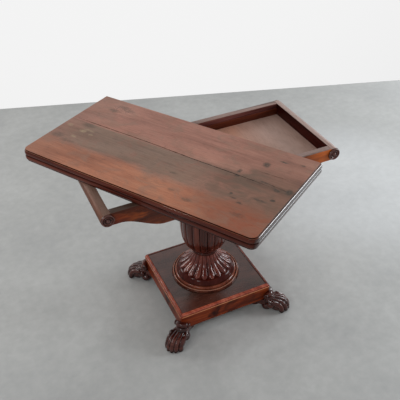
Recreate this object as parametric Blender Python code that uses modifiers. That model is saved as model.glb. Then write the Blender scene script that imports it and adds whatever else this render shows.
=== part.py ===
"""Fold-over card table: a swivelling, folding top over a frieze with a storage well,
on a lobed column, a moulded plinth and four carved paw feet."""

import math

import bmesh
import bpy
from mathutils import Matrix
from mathutils import Vector

# Overall sizes in metres and angles in degrees
TABLE_HEIGHT = 0.7375
FIT_GAP = 0.0003

# Top
TOP_LENGTH = 0.909
TOP_DEPTH = 0.447
LEAF_THICKNESS = 0.0218
TOP_CORNER_RADIUS = 0.015
EDGE_WIDTH = 0.0050
SWIVEL_TURN = 90.0
SWIVEL_SHOWN = 58.0
BAIZE_MARGIN = 0.050
BAIZE_THICKNESS = 0.0009

# Leaf hinges
HINGE_LENGTH = 0.060
HINGE_FROM_END = 0.085
HINGE_PLATE_WIDTH = 0.022
HINGE_PLATE_THICKNESS = 0.0022
HINGE_BARREL_RADIUS = 0.0035
HINGE_PIN_RADIUS = 0.0015

# Swivel
PIVOT_FLANGE_RADIUS = 0.030
PIVOT_FLANGE_THICKNESS = 0.004
PIVOT_BOLT_RADIUS = 0.007
PIVOT_WASHER_RADIUS = 0.018
PIVOT_WASHER_THICKNESS = 0.0025
PIVOT_NUT_RADIUS = 0.013
PIVOT_NUT_HEIGHT = 0.010
PIVOT_BOARD_WIDTH = 0.110
PIVOT_BOARD_THICKNESS = 0.024
STOP_PEG_RADIUS = 0.004
STOP_PEG_RISE = 0.0050
STOP_PEG_DEPTH = 0.016

# Frieze
FRIEZE_LENGTH = 0.8726
FRIEZE_DEPTH = 0.394
APRON_THICKNESS = 0.025
APRON_HEIGHT = 0.100
APRON_CURVE_START = 0.225
APRON_CURVE_END = 0.375
ROLL_RADIUS = 0.0229
END_RAIL_WEB = 0.0112
ROUNDEL_RISE = 0.0075
WELL_FLOOR_THICKNESS = 0.006
WELL_DIVIDER_THICKNESS = 0.012
CLEAT_WIDTH = 0.012
CLEAT_END_SPACE = 0.125
BEARER_WIDTH = 0.180
BEARER_THICKNESS = 0.030

# Column
DOWEL_RADIUS = 0.014
LOBES = 20
LOBE_STEPS = 4
TURNING_STEPS = 32
BASE_RING_RADIUS = 0.1357
BASE_RING_HEIGHT = 0.018
BELL_RADIUS = 0.112
BELL_HEIGHT = 0.0963
GADROON_DEPTH = 0.0055
WAIST_RADIUS = 0.044
COLLAR_RADIUS = 0.0515
COLLAR_HEIGHT = 0.014
VASE_RADIUS = 0.0945
LOBE_DEPTH = 0.0042
CAP_HEIGHT = 0.0762
CAP_RADIUS = 0.100
CAP_NECK_RADIUS = 0.066

# Plinth
PLINTH_SIDE = 0.386
PLINTH_TOP = 0.1225
PLINTH_HEIGHT = 0.0755
MOULDING_WIDTH = 0.015
MOULDING_HEIGHT = 0.013
MOULDING_OVERHANG = 0.004
PLINTH_RAIL_THICKNESS = 0.020
PLINTH_BOARD_DROP = 0.0015
CORE_WIDTH = 0.090
CORE_THICKNESS = 0.034
CORNER_BLOCK_SIDE = 0.050

# Paw feet
PAW_REACH = 0.085
PAW_WIDTH = 0.088
PAW_HEEL = 0.030
PAW_FRONT = 0.060
TOES = 5
TOE_STEPS = 4
TOE_SPREAD = 132.0
TOE_DEPTH = 0.0085
SCROLL_RADIUS = 0.0135
SCROLL_WIDTH = 0.040
SCROLL_OUT = 0.0065
SCROLL_LEVEL = 0.0775
NECK_LENGTH = 0.048
NECK_WIDTH = 0.050
SHANK_RADIUS = 0.028
BRIDGE_WIDTH = 0.048
FOOT_DOWEL_RADIUS = 0.008
FOOT_DOWEL_IN = 0.058

# Levels and places that follow from the sizes
FRIEZE_TOP = TABLE_HEIGHT - 2 * LEAF_THICKNESS - 2 * FIT_GAP
JOINT_PLANE = LEAF_THICKNESS + 1.5 * FIT_GAP
PIVOT_X = -TOP_DEPTH / 4
PIVOT_Y = TOP_DEPTH / 4
HINGE_X = TOP_LENGTH / 2 - HINGE_FROM_END
APRON_FACE = FRIEZE_DEPTH / 2
APRON_INSIDE = APRON_FACE - APRON_THICKNESS
ROLL_CENTRE = FRIEZE_LENGTH / 2 - ROLL_RADIUS
RAIL_INSIDE = ROLL_CENTRE - END_RAIL_WEB
CROSS_HALF = APRON_INSIDE - FIT_GAP
WELL_DEPTH = 2 * ROLL_RADIUS + FIT_GAP
WELL_BOTTOM = WELL_DEPTH + WELL_FLOOR_THICKNESS
BEARER_UNDER = APRON_HEIGHT
BEARER_TOP = BEARER_UNDER - BEARER_THICKNESS
PLINTH_HALF = PLINTH_SIDE / 2
PLINTH_FACE = PLINTH_HALF - MOULDING_OVERHANG
PLINTH_INSIDE = PLINTH_FACE - PLINTH_RAIL_THICKNESS
PLINTH_UNDER = PLINTH_TOP - PLINTH_HEIGHT
PLINTH_RAIL_TOP = PLINTH_TOP - MOULDING_HEIGHT - FIT_GAP
PLINTH_BOARD_TOP = PLINTH_TOP - PLINTH_BOARD_DROP
PLINTH_BOARD_UNDER = PLINTH_RAIL_TOP + FIT_GAP
CORE_TOP = PLINTH_BOARD_UNDER - FIT_GAP
CORE_UNDER = CORE_TOP - CORE_THICKNESS
BASE_RING_LEVEL = PLINTH_BOARD_TOP + FIT_GAP
BELL_LEVEL = BASE_RING_LEVEL + BASE_RING_HEIGHT + FIT_GAP
COLLAR_LEVEL = BELL_LEVEL + BELL_HEIGHT + FIT_GAP
VASE_LEVEL = COLLAR_LEVEL + COLLAR_HEIGHT + FIT_GAP
CAP_LEVEL = FRIEZE_TOP - BEARER_UNDER - FIT_GAP - CAP_HEIGHT
VASE_HEIGHT = CAP_LEVEL - FIT_GAP - VASE_LEVEL
BORE_RADIUS = DOWEL_RADIUS + FIT_GAP
STOP_ORBIT = PIVOT_FLANGE_RADIUS + STOP_PEG_RADIUS + 0.009
STOP_BEARING = -45.0

for item in list(bpy.data.objects):
    bpy.data.objects.remove(item)

PARTS = bpy.data.collections.new("fold_over_card_table")
CUTTERS = bpy.data.collections.new("cutters")
CUTTERS.hide_render = True
bpy.context.scene.collection.children.link(PARTS)
bpy.context.scene.collection.children.link(CUTTERS)


def paint(name, colour, roughness, metallic=0.0):
    """Principled material in one plain colour."""
    made = bpy.data.materials.new(name)
    made.use_nodes = True
    shader = made.node_tree.nodes["Principled BSDF"]
    shader.inputs["Base Color"].default_value = (*colour, 1.0)
    shader.inputs["Roughness"].default_value = roughness
    shader.inputs["Metallic"].default_value = metallic
    made.diffuse_color = (*colour, 1.0)
    return made


TOP_WOOD = ("faded_mahogany", (0.215, 0.083, 0.052), 0.42, 0.0)
VENEER = ("flame_mahogany", (0.265, 0.062, 0.022), 0.28, 0.0)
RAIL_WOOD = ("rail_mahogany", (0.150, 0.064, 0.040), 0.36, 0.0)
CARVED_WOOD = ("carved_mahogany", (0.060, 0.018, 0.013), 0.22, 0.0)
PLINTH_WOOD = ("plinth_mahogany", (0.085, 0.048, 0.036), 0.34, 0.0)
MOULDING_WOOD = ("moulding_mahogany", (0.170, 0.048, 0.032), 0.30, 0.0)
PAW_WOOD = ("paw_mahogany", (0.048, 0.019, 0.017), 0.24, 0.0)
INSIDE_WOOD = ("plain_deal", (0.290, 0.170, 0.085), 0.60, 0.0)
FLOOR_WOOD = ("well_mahogany", (0.160, 0.088, 0.066), 0.40, 0.0)
BRASS = ("brass", (0.560, 0.390, 0.150), 0.30, 1.0)
IRON = ("iron", (0.110, 0.105, 0.100), 0.45, 1.0)
BAIZE = ("green_baize", (0.030, 0.110, 0.055), 0.95, 0.0)


def empty(name, parent, place, turn=0.0):
    """Named frame that carries other pieces; turn is about Z."""
    frame = bpy.data.objects.new(name, None)
    PARTS.objects.link(frame)
    frame.parent = parent
    frame.location = place
    frame.rotation_euler = (0.0, 0.0, math.radians(turn))
    frame.empty_display_size = 0.05
    return frame


def piece(name, shape, wood, parent, place=(0.0, 0.0, 0.0), turn=(0.0, 0.0, 0.0), angle=35.0):
    """Object made from a bmesh, with its own material, in the parts collection."""
    mesh = bpy.data.meshes.new(name)
    shape.to_mesh(mesh)
    shape.free()
    mesh.shade_smooth()
    mesh.set_sharp_from_angle(angle=math.radians(angle))
    made = bpy.data.objects.new(name, mesh)
    PARTS.objects.link(made)
    made.parent = parent
    made.location = place
    made.rotation_euler = [math.radians(value) for value in turn]
    mesh.materials.append(paint(name + "_" + wood[0], *wood[1:]))
    return made


def boolean(target, shape, operation="DIFFERENCE"):
    """Cuts target with a bmesh given in the same frame as target, or joins it on."""
    name = target.name + "_tool_" + str(len(target.modifiers))
    mesh = bpy.data.meshes.new(name)
    shape.to_mesh(mesh)
    shape.free()
    tool = bpy.data.objects.new(name, mesh)
    CUTTERS.objects.link(tool)
    tool.parent = target.parent
    tool.location = target.location
    tool.rotation_euler = target.rotation_euler
    tool.hide_render = True
    tool.display_type = "WIRE"
    change = target.modifiers.new(operation.title(), "BOOLEAN")
    change.operation = operation
    change.solver = "EXACT"
    change.object = tool
    return target


def block(low, high):
    """Box between two opposite corners."""
    low = Vector(low)
    high = Vector(high)
    shape = bmesh.new()
    place = Matrix.LocRotScale((low + high) / 2, None, high - low)
    bmesh.ops.create_cube(shape, size=1.0, matrix=place)
    return shape


def rod(radius, low, high, steps, centre=(0.0, 0.0), axis="Z"):
    """Cylinder from low to high along an axis; centre is in the other two axes."""
    shape = bmesh.new()
    middle = (low + high) / 2
    if axis == "X":
        place = Matrix.Translation((middle, *centre)) @ Matrix.Rotation(math.pi / 2, 4, "Y")
    elif axis == "Y":
        place = Matrix.Translation((centre[0], middle, centre[1])) @ Matrix.Rotation(math.pi / 2, 4, "X")
    else:
        place = Matrix.Translation((*centre, middle))
    bmesh.ops.create_cone(
        shape,
        cap_ends=True,
        segments=steps,
        radius1=radius,
        radius2=radius,
        depth=high - low,
        matrix=place,
    )
    return shape


def ball(centre, radii, steps=14, rings=9):
    """Ellipsoid, for the rounded masses of the carving."""
    shape = bmesh.new()
    place = Matrix.LocRotScale(Vector(centre), None, Vector(radii))
    bmesh.ops.create_uvsphere(shape, u_segments=steps, v_segments=rings, radius=1.0, matrix=place)
    return shape


def loft(rings):
    """Closed solid through a row of matching rings, capped at both ends."""
    shape = bmesh.new()
    loops = [[shape.verts.new(point) for point in ring] for ring in rings]
    for first, second in zip(loops, loops[1:]):
        for i in range(len(first)):
            j = (i + 1) % len(first)
            shape.faces.new((first[i], first[j], second[j], second[i]))
    shape.faces.new(list(reversed(loops[0])))
    shape.faces.new(loops[-1])
    bmesh.ops.recalc_face_normals(shape, faces=shape.faces)
    return shape


def plate(outline, thickness):
    """Flat outline in X and Y, thickened evenly along Z."""
    curve = bpy.data.curves.new("outline", "CURVE")
    curve.dimensions = "2D"
    curve.fill_mode = "BOTH"
    curve.extrude = thickness / 2
    spline = curve.splines.new("POLY")
    spline.points.add(len(outline) - 1)
    for point, (x, y) in zip(spline.points, outline):
        point.co = (x, y, 0.0, 1.0)
    spline.use_cyclic_u = True
    carrier = bpy.data.objects.new("outline", curve)
    mesh = bpy.data.meshes.new_from_object(carrier)
    bpy.data.objects.remove(carrier)
    shape = bmesh.new()
    shape.from_mesh(mesh)
    bpy.data.meshes.remove(mesh)
    bmesh.ops.remove_doubles(shape, verts=shape.verts, dist=0.00001)
    bmesh.ops.recalc_face_normals(shape, faces=shape.faces)
    return shape


def turned(profile, steps):
    """Lathe-turned solid about Z. The profile runs down the outer side as radius and height."""
    edges = [(i, i + 1) for i in range(len(profile) - 1)]
    mesh = bpy.data.meshes.new("profile")
    mesh.from_pydata([(radius, 0.0, height) for radius, height in profile], edges, [])
    carrier = bpy.data.objects.new("profile", mesh)
    CUTTERS.objects.link(carrier)
    screw = carrier.modifiers.new("Turning", "SCREW")
    screw.steps = steps
    screw.render_steps = steps
    screw.use_merge_vertices = True
    screw.merge_threshold = 0.00005
    bpy.context.view_layer.update()
    graph = bpy.context.evaluated_depsgraph_get()
    made = bpy.data.meshes.new_from_object(carrier.evaluated_get(graph))
    bpy.data.objects.remove(carrier)
    shape = bmesh.new()
    shape.from_mesh(made)
    bpy.data.meshes.remove(made)
    bmesh.ops.remove_doubles(shape, verts=shape.verts, dist=0.00001)
    bmesh.ops.holes_fill(shape, edges=[edge for edge in shape.edges if edge.is_boundary])
    bmesh.ops.recalc_face_normals(shape, faces=shape.faces)
    return shape


def bore(target, low, high):
    """Cuts the hole for the column dowel, from low to high in the target's frame."""
    return boolean(target, rod(BORE_RADIUS, low - 0.01, high + 0.01, 16))


def carve_lobes(shape, depth):
    """Presses valleys between rounded lobes into a turned solid; depth follows the height."""
    for vert in shape.verts:
        radius = math.hypot(vert.co.x, vert.co.y)
        phase = math.atan2(vert.co.y, vert.co.x) / (2 * math.pi) * LOBES
        crown = abs(math.sin(math.pi * phase))
        scale = 1 - depth(vert.co.z) * (1 - crown) / radius
        vert.co.x *= scale
        vert.co.y *= scale
    return shape


def arc(centre_x, centre_y, radius, start, end, steps):
    """Points along a circular arc, angles in degrees."""
    points = []
    for step in range(steps + 1):
        angle = math.radians(start + (end - start) * step / steps)
        points.append((centre_x + radius * math.cos(angle), centre_y + radius * math.sin(angle)))
    return points


def ease(value):
    """Smooth step from 0 to 1."""
    value = min(max(value, 0.0), 1.0)
    return value * value * (3 - 2 * value)


def leaf_outline(inset):
    """Plan of a leaf about the middle of its hinge edge; the other three edges are set in."""
    half = TOP_LENGTH / 2 - inset
    near = -TOP_DEPTH + inset
    radius = max(TOP_CORNER_RADIUS - inset, 0.002)
    points = [(half, -FIT_GAP / 2)]
    points += arc(half - radius, near + radius, radius, 0, -90, 5)
    points += arc(radius - half, near + radius, radius, -90, -180, 5)
    points.append((-half, -FIT_GAP / 2))
    return points


def leaf_edge():
    """Moulded edge of a leaf as inset and height, from the playing face to the show face."""
    points = []
    for step in range(4):
        turn = math.pi / 2 * step / 3
        inset = 0.5 * EDGE_WIDTH * (1 - math.sin(turn))
        points.append((inset, 0.30 * LEAF_THICKNESS * (1 - math.cos(turn))))
    for step in range(5):
        turn = math.pi / 2 * step / 4
        inset = 0.66 * EDGE_WIDTH * (1 - math.cos(turn))
        points.append((inset, LEAF_THICKNESS * (0.44 + 0.41 * math.sin(turn))))
    points.append((0.86 * EDGE_WIDTH, 0.87 * LEAF_THICKNESS))
    points.append((0.89 * EDGE_WIDTH, 0.97 * LEAF_THICKNESS))
    points.append((EDGE_WIDTH, LEAF_THICKNESS))
    return points


def hinge_recess(middle, side):
    """Space for one hinge in a leaf: a shallow bed for the plate, deeper along the barrel."""
    barrel = HINGE_BARREL_RADIUS + 2 * FIT_GAP
    bed = HINGE_PLATE_THICKNESS + 1.5 * FIT_GAP
    section = [
        (0.002, -0.001),
        (0.002, barrel),
        (-barrel, barrel),
        (-barrel, bed),
        (-HINGE_PLATE_WIDTH - FIT_GAP, bed),
        (-HINGE_PLATE_WIDTH - FIT_GAP, -0.001),
    ]
    half = HINGE_LENGTH / 2 + FIT_GAP
    return loft([[(middle + end * half, y, side * z) for y, z in section] for end in (-1, 1)])


def make_leaf(name, side, frame):
    """Leaf with moulded edge; side is 1 for the upper leaf and -1 for the lower."""
    rings = []
    for inset, height in leaf_edge():
        level = side * (FIT_GAP / 2 + height)
        rings.append([(x, y, level) for x, y in leaf_outline(inset)])
    leaf = piece(name + "_leaf", loft(rings), TOP_WOOD, frame)
    half = TOP_LENGTH / 2 - BAIZE_MARGIN
    near = -TOP_DEPTH + BAIZE_MARGIN
    far = -HINGE_PLATE_WIDTH - 0.010
    face = side * FIT_GAP / 2
    bed = side * (1.5 * FIT_GAP + BAIZE_THICKNESS)
    beyond = -side * 0.001
    boolean(leaf, block((-half, near, min(beyond, bed)), (half, far, max(beyond, bed))))
    for middle in (-HINGE_X, HINGE_X):
        boolean(leaf, hinge_recess(middle, side))
    lining = face + side * BAIZE_THICKNESS
    low = (FIT_GAP - half, near + FIT_GAP, min(face, lining))
    high = (half - FIT_GAP, far - FIT_GAP, max(face, lining))
    piece(name + "_baize", block(low, high), BAIZE, frame)
    return leaf


def hinge_plate(name, middle, side, frame):
    """Hinge leaf plate; the lower one carries the two outer knuckles, the upper the middle one."""
    half = HINGE_LENGTH / 2
    knuckle = HINGE_LENGTH / 6
    inner = side * FIT_GAP / 2
    outer = inner + side * HINGE_PLATE_THICKNESS
    low = (middle - half, -HINGE_PLATE_WIDTH, min(inner, outer))
    high = (middle + half, -0.0004, max(inner, outer))
    made = piece(name, block(low, high), BRASS, frame)
    clear = HINGE_BARREL_RADIUS + 2 * FIT_GAP
    if side > 0:
        start = middle - knuckle + FIT_GAP
        end = middle + knuckle - FIT_GAP
        spaces = [(middle - half - 0.001, start), (end, middle + half + 0.001)]
    else:
        start = middle - half
        end = middle + half
        spaces = [(middle - knuckle, middle + knuckle)]
    barrel = rod(HINGE_BARREL_RADIUS, start, end, 12, axis="X")
    boolean(made, barrel, "UNION")
    for low_x, high_x in spaces:
        boolean(made, block((low_x, -clear, -clear), (high_x, clear, clear)))
    bore = rod(HINGE_PIN_RADIUS + FIT_GAP, middle - half - 0.002, middle + half + 0.002, 10, axis="X")
    boolean(made, bore)
    return made


def make_top(swivel):
    """Both leaves with linings, hinges and the swivel ironwork."""
    axis = (-PIVOT_X, PIVOT_Y, JOINT_PLANE)
    lower_frame = empty("lower_leaf_frame", swivel, axis)
    fold = empty("fold_axis", swivel, axis)
    lower = make_leaf("lower", -1, lower_frame)
    make_leaf("upper", 1, fold)
    for name, middle in (("left", -HINGE_X), ("right", HINGE_X)):
        hinge_plate("hinge_" + name + "_lower", middle, -1, lower_frame)
        hinge_plate("hinge_" + name + "_upper", middle, 1, fold)
        reach = HINGE_LENGTH / 2 - FIT_GAP
        pin = rod(HINGE_PIN_RADIUS, middle - reach, middle + reach, 10, axis="X")
        piece("hinge_" + name + "_pin", pin, BRASS, lower_frame)

    flange_top = FIT_GAP + PIVOT_FLANGE_THICKNESS
    washer_top = -PIVOT_BOARD_THICKNESS - FIT_GAP
    nut_top = washer_top - PIVOT_WASHER_THICKNESS - FIT_GAP
    bolt_end = nut_top - PIVOT_NUT_HEIGHT - 0.004
    profile = [
        (0.0, flange_top),
        (PIVOT_FLANGE_RADIUS, flange_top),
        (PIVOT_FLANGE_RADIUS, FIT_GAP),
        (PIVOT_BOLT_RADIUS, FIT_GAP),
        (PIVOT_BOLT_RADIUS, bolt_end + 0.001),
        (PIVOT_BOLT_RADIUS - 0.001, bolt_end),
        (0.0, bolt_end),
    ]
    piece("pivot_bolt", turned(profile, 24), IRON, swivel)
    hole = PIVOT_BOLT_RADIUS + FIT_GAP
    washer = piece(
        "pivot_washer",
        rod(PIVOT_WASHER_RADIUS, washer_top - PIVOT_WASHER_THICKNESS, washer_top, 24),
        IRON,
        swivel,
    )
    boolean(washer, rod(hole, washer_top - 0.01, washer_top + 0.01, 24))
    nut = piece("pivot_nut", rod(PIVOT_NUT_RADIUS, nut_top - PIVOT_NUT_HEIGHT, nut_top, 6), IRON, swivel)
    boolean(nut, rod(hole, nut_top - 2 * PIVOT_NUT_HEIGHT, nut_top + 0.01, 24))

    # The lower leaf's own frame is at the hinge edge, so its cutters are moved there
    shift = Matrix.Translation((PIVOT_X, -PIVOT_Y, -JOINT_PLANE))
    seat = rod(PIVOT_FLANGE_RADIUS + FIT_GAP, -0.002, flange_top + FIT_GAP, 32)
    bmesh.ops.transform(seat, matrix=shift, verts=seat.verts)
    boolean(lower, seat)
    width = STOP_PEG_RADIUS + FIT_GAP
    end = STOP_BEARING + SWIVEL_TURN
    near_end = (
        STOP_ORBIT * math.cos(math.radians(STOP_BEARING)),
        STOP_ORBIT * math.sin(math.radians(STOP_BEARING)),
    )
    far_end = (
        STOP_ORBIT * math.cos(math.radians(end)),
        STOP_ORBIT * math.sin(math.radians(end)),
    )
    track = arc(0, 0, STOP_ORBIT + width, STOP_BEARING, end, 14)
    track += arc(*far_end, width, end, end + 180, 6)[1:-1]
    track += arc(0, 0, STOP_ORBIT - width, end, STOP_BEARING, 14)
    track += arc(*near_end, width, STOP_BEARING + 180, STOP_BEARING + 360, 6)[1:-1]
    groove = plate(track, 2 * (STOP_PEG_RISE + 2 * FIT_GAP))
    bmesh.ops.transform(groove, matrix=shift, verts=groove.verts)
    boolean(lower, groove)


def apron_outline(half):
    """Front view of an apron: straight top, deep middle, curving up to shallow ends."""
    end_height = 2 * ROLL_RADIUS
    lower = [(-half, -end_height)]
    steps = 14
    for step in range(steps + 1):
        across = step / steps
        x = APRON_CURVE_END + (APRON_CURVE_START - APRON_CURVE_END) * across
        lower.append((-x, -end_height - (APRON_HEIGHT - end_height) * ease(across)))
    mirrored = [(-x, height) for x, height in reversed(lower)]
    return [(half, 0.0), (-half, 0.0)] + lower + mirrored


def make_frieze(frieze):
    """Aprons, end rails, roundels, the storage well and the boards that carry the swivel."""
    half = RAIL_INSIDE - FIT_GAP
    middle = APRON_FACE - APRON_THICKNESS / 2
    upright = Matrix.Rotation(math.pi / 2, 4, "X")
    for name, side in (("front", -1), ("back", 1)):
        shape = plate(apron_outline(half), APRON_THICKNESS)
        bmesh.ops.transform(shape, matrix=upright, verts=shape.verts)
        piece(name + "_apron", shape, VENEER, frieze, (0.0, side * middle, 0.0))

    for name, side in (("left", -1), ("right", 1)):
        section = [(RAIL_INSIDE, -2 * ROLL_RADIUS)]
        section += arc(ROLL_CENTRE, -ROLL_RADIUS, ROLL_RADIUS, -90, 90, 14)
        section += [(RAIL_INSIDE, 0.0)]
        ends = (-APRON_FACE, APRON_FACE)
        shape = loft([[(side * x, y, z) for x, z in section] for y in ends])
        piece(name + "_end_rail", shape, RAIL_WOOD, frieze)

    rise = ROUNDEL_RISE
    radius = ROLL_RADIUS - 2 * FIT_GAP
    profile = [
        (0.0, rise),
        (0.16 * radius, 0.97 * rise),
        (0.30 * radius, 0.80 * rise),
        (0.36 * radius, 0.42 * rise),
        (0.50 * radius, 0.36 * rise),
        (0.60 * radius, 0.62 * rise),
        (0.72 * radius, 0.34 * rise),
        (0.80 * radius, 0.72 * rise),
        (0.92 * radius, 0.72 * rise),
        (radius, 0.40 * rise),
        (radius, 0.0),
        (0.0, 0.0),
    ]
    for depth_name, depth_side in (("front", -1), ("back", 1)):
        for end_name, end_side in (("left", -1), ("right", 1)):
            piece(
                "roundel_" + depth_name + "_" + end_name,
                turned(profile, 18),
                VENEER,
                frieze,
                (end_side * ROLL_CENTRE, depth_side * (APRON_FACE + FIT_GAP), -ROLL_RADIUS),
                (-90.0 * depth_side, 0.0, 0.0),
            )

    left = PIVOT_X - PIVOT_BOARD_WIDTH / 2
    right = PIVOT_X + PIVOT_BOARD_WIDTH / 2
    pivot_board = piece(
        "pivot_board",
        block((left, -CROSS_HALF, -PIVOT_BOARD_THICKNESS), (right, CROSS_HALF, 0.0)),
        RAIL_WOOD,
        frieze,
    )
    bolt_hole = PIVOT_BOLT_RADIUS + FIT_GAP
    boolean(pivot_board, rod(bolt_hole, -0.1, 0.01, 24, (PIVOT_X, PIVOT_Y)))
    peg_x = PIVOT_X + STOP_ORBIT * math.cos(math.radians(STOP_BEARING))
    peg_y = PIVOT_Y + STOP_ORBIT * math.sin(math.radians(STOP_BEARING))
    peg_hole = STOP_PEG_RADIUS + FIT_GAP
    boolean(pivot_board, rod(peg_hole, -STOP_PEG_DEPTH - FIT_GAP, 0.01, 16, (peg_x, peg_y)))
    peg = rod(STOP_PEG_RADIUS, -STOP_PEG_DEPTH, STOP_PEG_RISE, 16, (peg_x, peg_y))
    piece("stop_peg", peg, INSIDE_WOOD, frieze)

    divider_left = right + FIT_GAP
    divider_right = divider_left + WELL_DIVIDER_THICKNESS
    piece(
        "well_divider",
        block((divider_left, -CROSS_HALF, -WELL_BOTTOM), (divider_right, CROSS_HALF, 0.0)),
        FLOOR_WOOD,
        frieze,
    )
    floor_left = divider_right + FIT_GAP
    floor_right = ROLL_CENTRE
    piece(
        "well_floor",
        block((floor_left, -CROSS_HALF, -WELL_BOTTOM), (floor_right, CROSS_HALF, -WELL_DEPTH)),
        FLOOR_WOOD,
        frieze,
    )
    cleat_top = -WELL_BOTTOM - FIT_GAP
    cleat_under = -BEARER_TOP + FIT_GAP
    cleat_inside = CROSS_HALF - CLEAT_WIDTH
    for name, side in (("front", -1), ("back", 1)):
        low_y = min(side * CROSS_HALF, side * cleat_inside)
        high_y = max(side * CROSS_HALF, side * cleat_inside)
        piece(
            "well_cleat_" + name,
            block((divider_left, low_y, cleat_under), (floor_right - CLEAT_END_SPACE, high_y, cleat_top)),
            INSIDE_WOOD,
            frieze,
        )
    bearer = piece(
        "bearer_board",
        block(
            (-BEARER_WIDTH / 2, -CROSS_HALF, -BEARER_UNDER),
            (BEARER_WIDTH / 2, CROSS_HALF, -BEARER_TOP),
        ),
        INSIDE_WOOD,
        frieze,
    )
    bore(bearer, -BEARER_UNDER, -BEARER_TOP)


def vase_radius(share):
    """Outline of the vase as a share of its largest radius, from bottom 0 to top 1."""
    marks = (0.0, 0.04, 0.08, 0.135, 0.24, 0.35, 0.48, 0.61, 0.73, 0.84, 0.92, 0.97, 1.0)
    sizes = (0.53, 0.68, 0.78, 0.88, 0.955, 0.99, 1.0, 0.99, 0.945, 0.87, 0.785, 0.715, 0.66)
    for i in range(len(marks) - 1):
        if share <= marks[i + 1]:
            along = (share - marks[i]) / (marks[i + 1] - marks[i])
            return sizes[i] + (sizes[i + 1] - sizes[i]) * along
    return sizes[-1]


def make_column(root):
    """Turned and carved pieces threaded on one long dowel."""
    height = BASE_RING_HEIGHT
    radius = BASE_RING_RADIUS
    profile = [
        (0.830 * radius, height),
        (0.868 * radius, 0.90 * height),
        (0.895 * radius, 0.68 * height),
        (0.905 * radius, 0.50 * height),
        (0.916 * radius, 0.40 * height),
        (0.930 * radius, 0.50 * height),
        (0.962 * radius, 0.52 * height),
        (0.990 * radius, 0.38 * height),
        (radius, 0.20 * height),
        (0.975 * radius, 0.0),
    ]
    ring = piece("column_base_ring", turned(profile, TURNING_STEPS), CARVED_WOOD, root, (0, 0, BASE_RING_LEVEL))
    bore(ring, 0.0, height)

    height = BELL_HEIGHT
    spread = BELL_RADIUS - WAIST_RADIUS
    profile = [
        (WAIST_RADIUS, height),
        (WAIST_RADIUS + 0.045 * spread, 0.840 * height),
        (WAIST_RADIUS + 0.160 * spread, 0.690 * height),
        (WAIST_RADIUS + 0.330 * spread, 0.545 * height),
        (WAIST_RADIUS + 0.580 * spread, 0.405 * height),
        (WAIST_RADIUS + 0.790 * spread, 0.315 * height),
        (WAIST_RADIUS + 0.840 * spread, 0.265 * height),
        (WAIST_RADIUS + 0.850 * spread, 0.225 * height),
        (BELL_RADIUS, 0.0),
    ]

    def gadroon(level):
        share = level / BELL_HEIGHT
        return GADROON_DEPTH * ease((share - 0.23) / 0.08) * (1 - 0.75 * ease((share - 0.32) / 0.68))

    steps = LOBES * LOBE_STEPS
    carved = carve_lobes(turned(profile, steps), gadroon)
    bell = piece("column_bell", carved, CARVED_WOOD, root, (0, 0, BELL_LEVEL))
    bore(bell, 0.0, height)

    height = COLLAR_HEIGHT
    radius = COLLAR_RADIUS
    profile = [
        (0.91 * radius, height),
        (0.98 * radius, 0.75 * height),
        (radius, 0.45 * height),
        (0.97 * radius, 0.15 * height),
        (0.89 * radius, 0.0),
    ]
    collar = piece("column_collar", turned(profile, TURNING_STEPS), CARVED_WOOD, root, (0, 0, COLLAR_LEVEL))
    bore(collar, 0.0, height)

    profile = []
    marks = (1.0, 0.94, 0.84, 0.70, 0.53, 0.36, 0.22, 0.13, 0.06, 0.0)
    for share in marks:
        profile.append((VASE_RADIUS * vase_radius(share), VASE_HEIGHT * share))

    def lobe(level):
        share = level / VASE_HEIGHT
        return LOBE_DEPTH * ease(share / 0.10) * ease((1 - share) / 0.10)

    carved = carve_lobes(turned(profile, steps), lobe)
    vase = piece("column_vase", carved, CARVED_WOOD, root, (0, 0, VASE_LEVEL))
    bore(vase, 0.0, VASE_HEIGHT)

    height = CAP_HEIGHT
    neck = CAP_NECK_RADIUS
    spread = CAP_RADIUS - CAP_NECK_RADIUS
    profile = [
        (CAP_RADIUS - 0.002, height),
        (CAP_RADIUS, height - 0.004),
        (CAP_RADIUS, height - 0.011),
        (CAP_RADIUS - 0.004, height - 0.015),
        (neck + 0.50 * spread, 0.70 * height),
        (neck + 0.18 * spread, 0.56 * height),
        (neck, 0.40 * height),
        (neck, 0.22 * height),
        (neck + 0.009, 0.18 * height),
        (neck + 0.012, 0.10 * height),
        (neck + 0.009, 0.03 * height),
        (neck + 0.004, 0.0),
    ]
    cap = piece("column_cap", turned(profile, TURNING_STEPS), CARVED_WOOD, root, (0, 0, CAP_LEVEL))
    bore(cap, 0.0, height)
    dowel = rod(DOWEL_RADIUS, CORE_UNDER, FRIEZE_TOP - BEARER_TOP, 16)
    piece("column_dowel", dowel, INSIDE_WOOD, root)


def mitred_bar(section):
    """Bar along the front of a square with mitred ends; section is distance out and height."""
    rings = []
    for end in (-1, 1):
        rings.append([(end * (out - 0.75 * FIT_GAP), -out, level) for out, level in section])
    return loft(rings)


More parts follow.
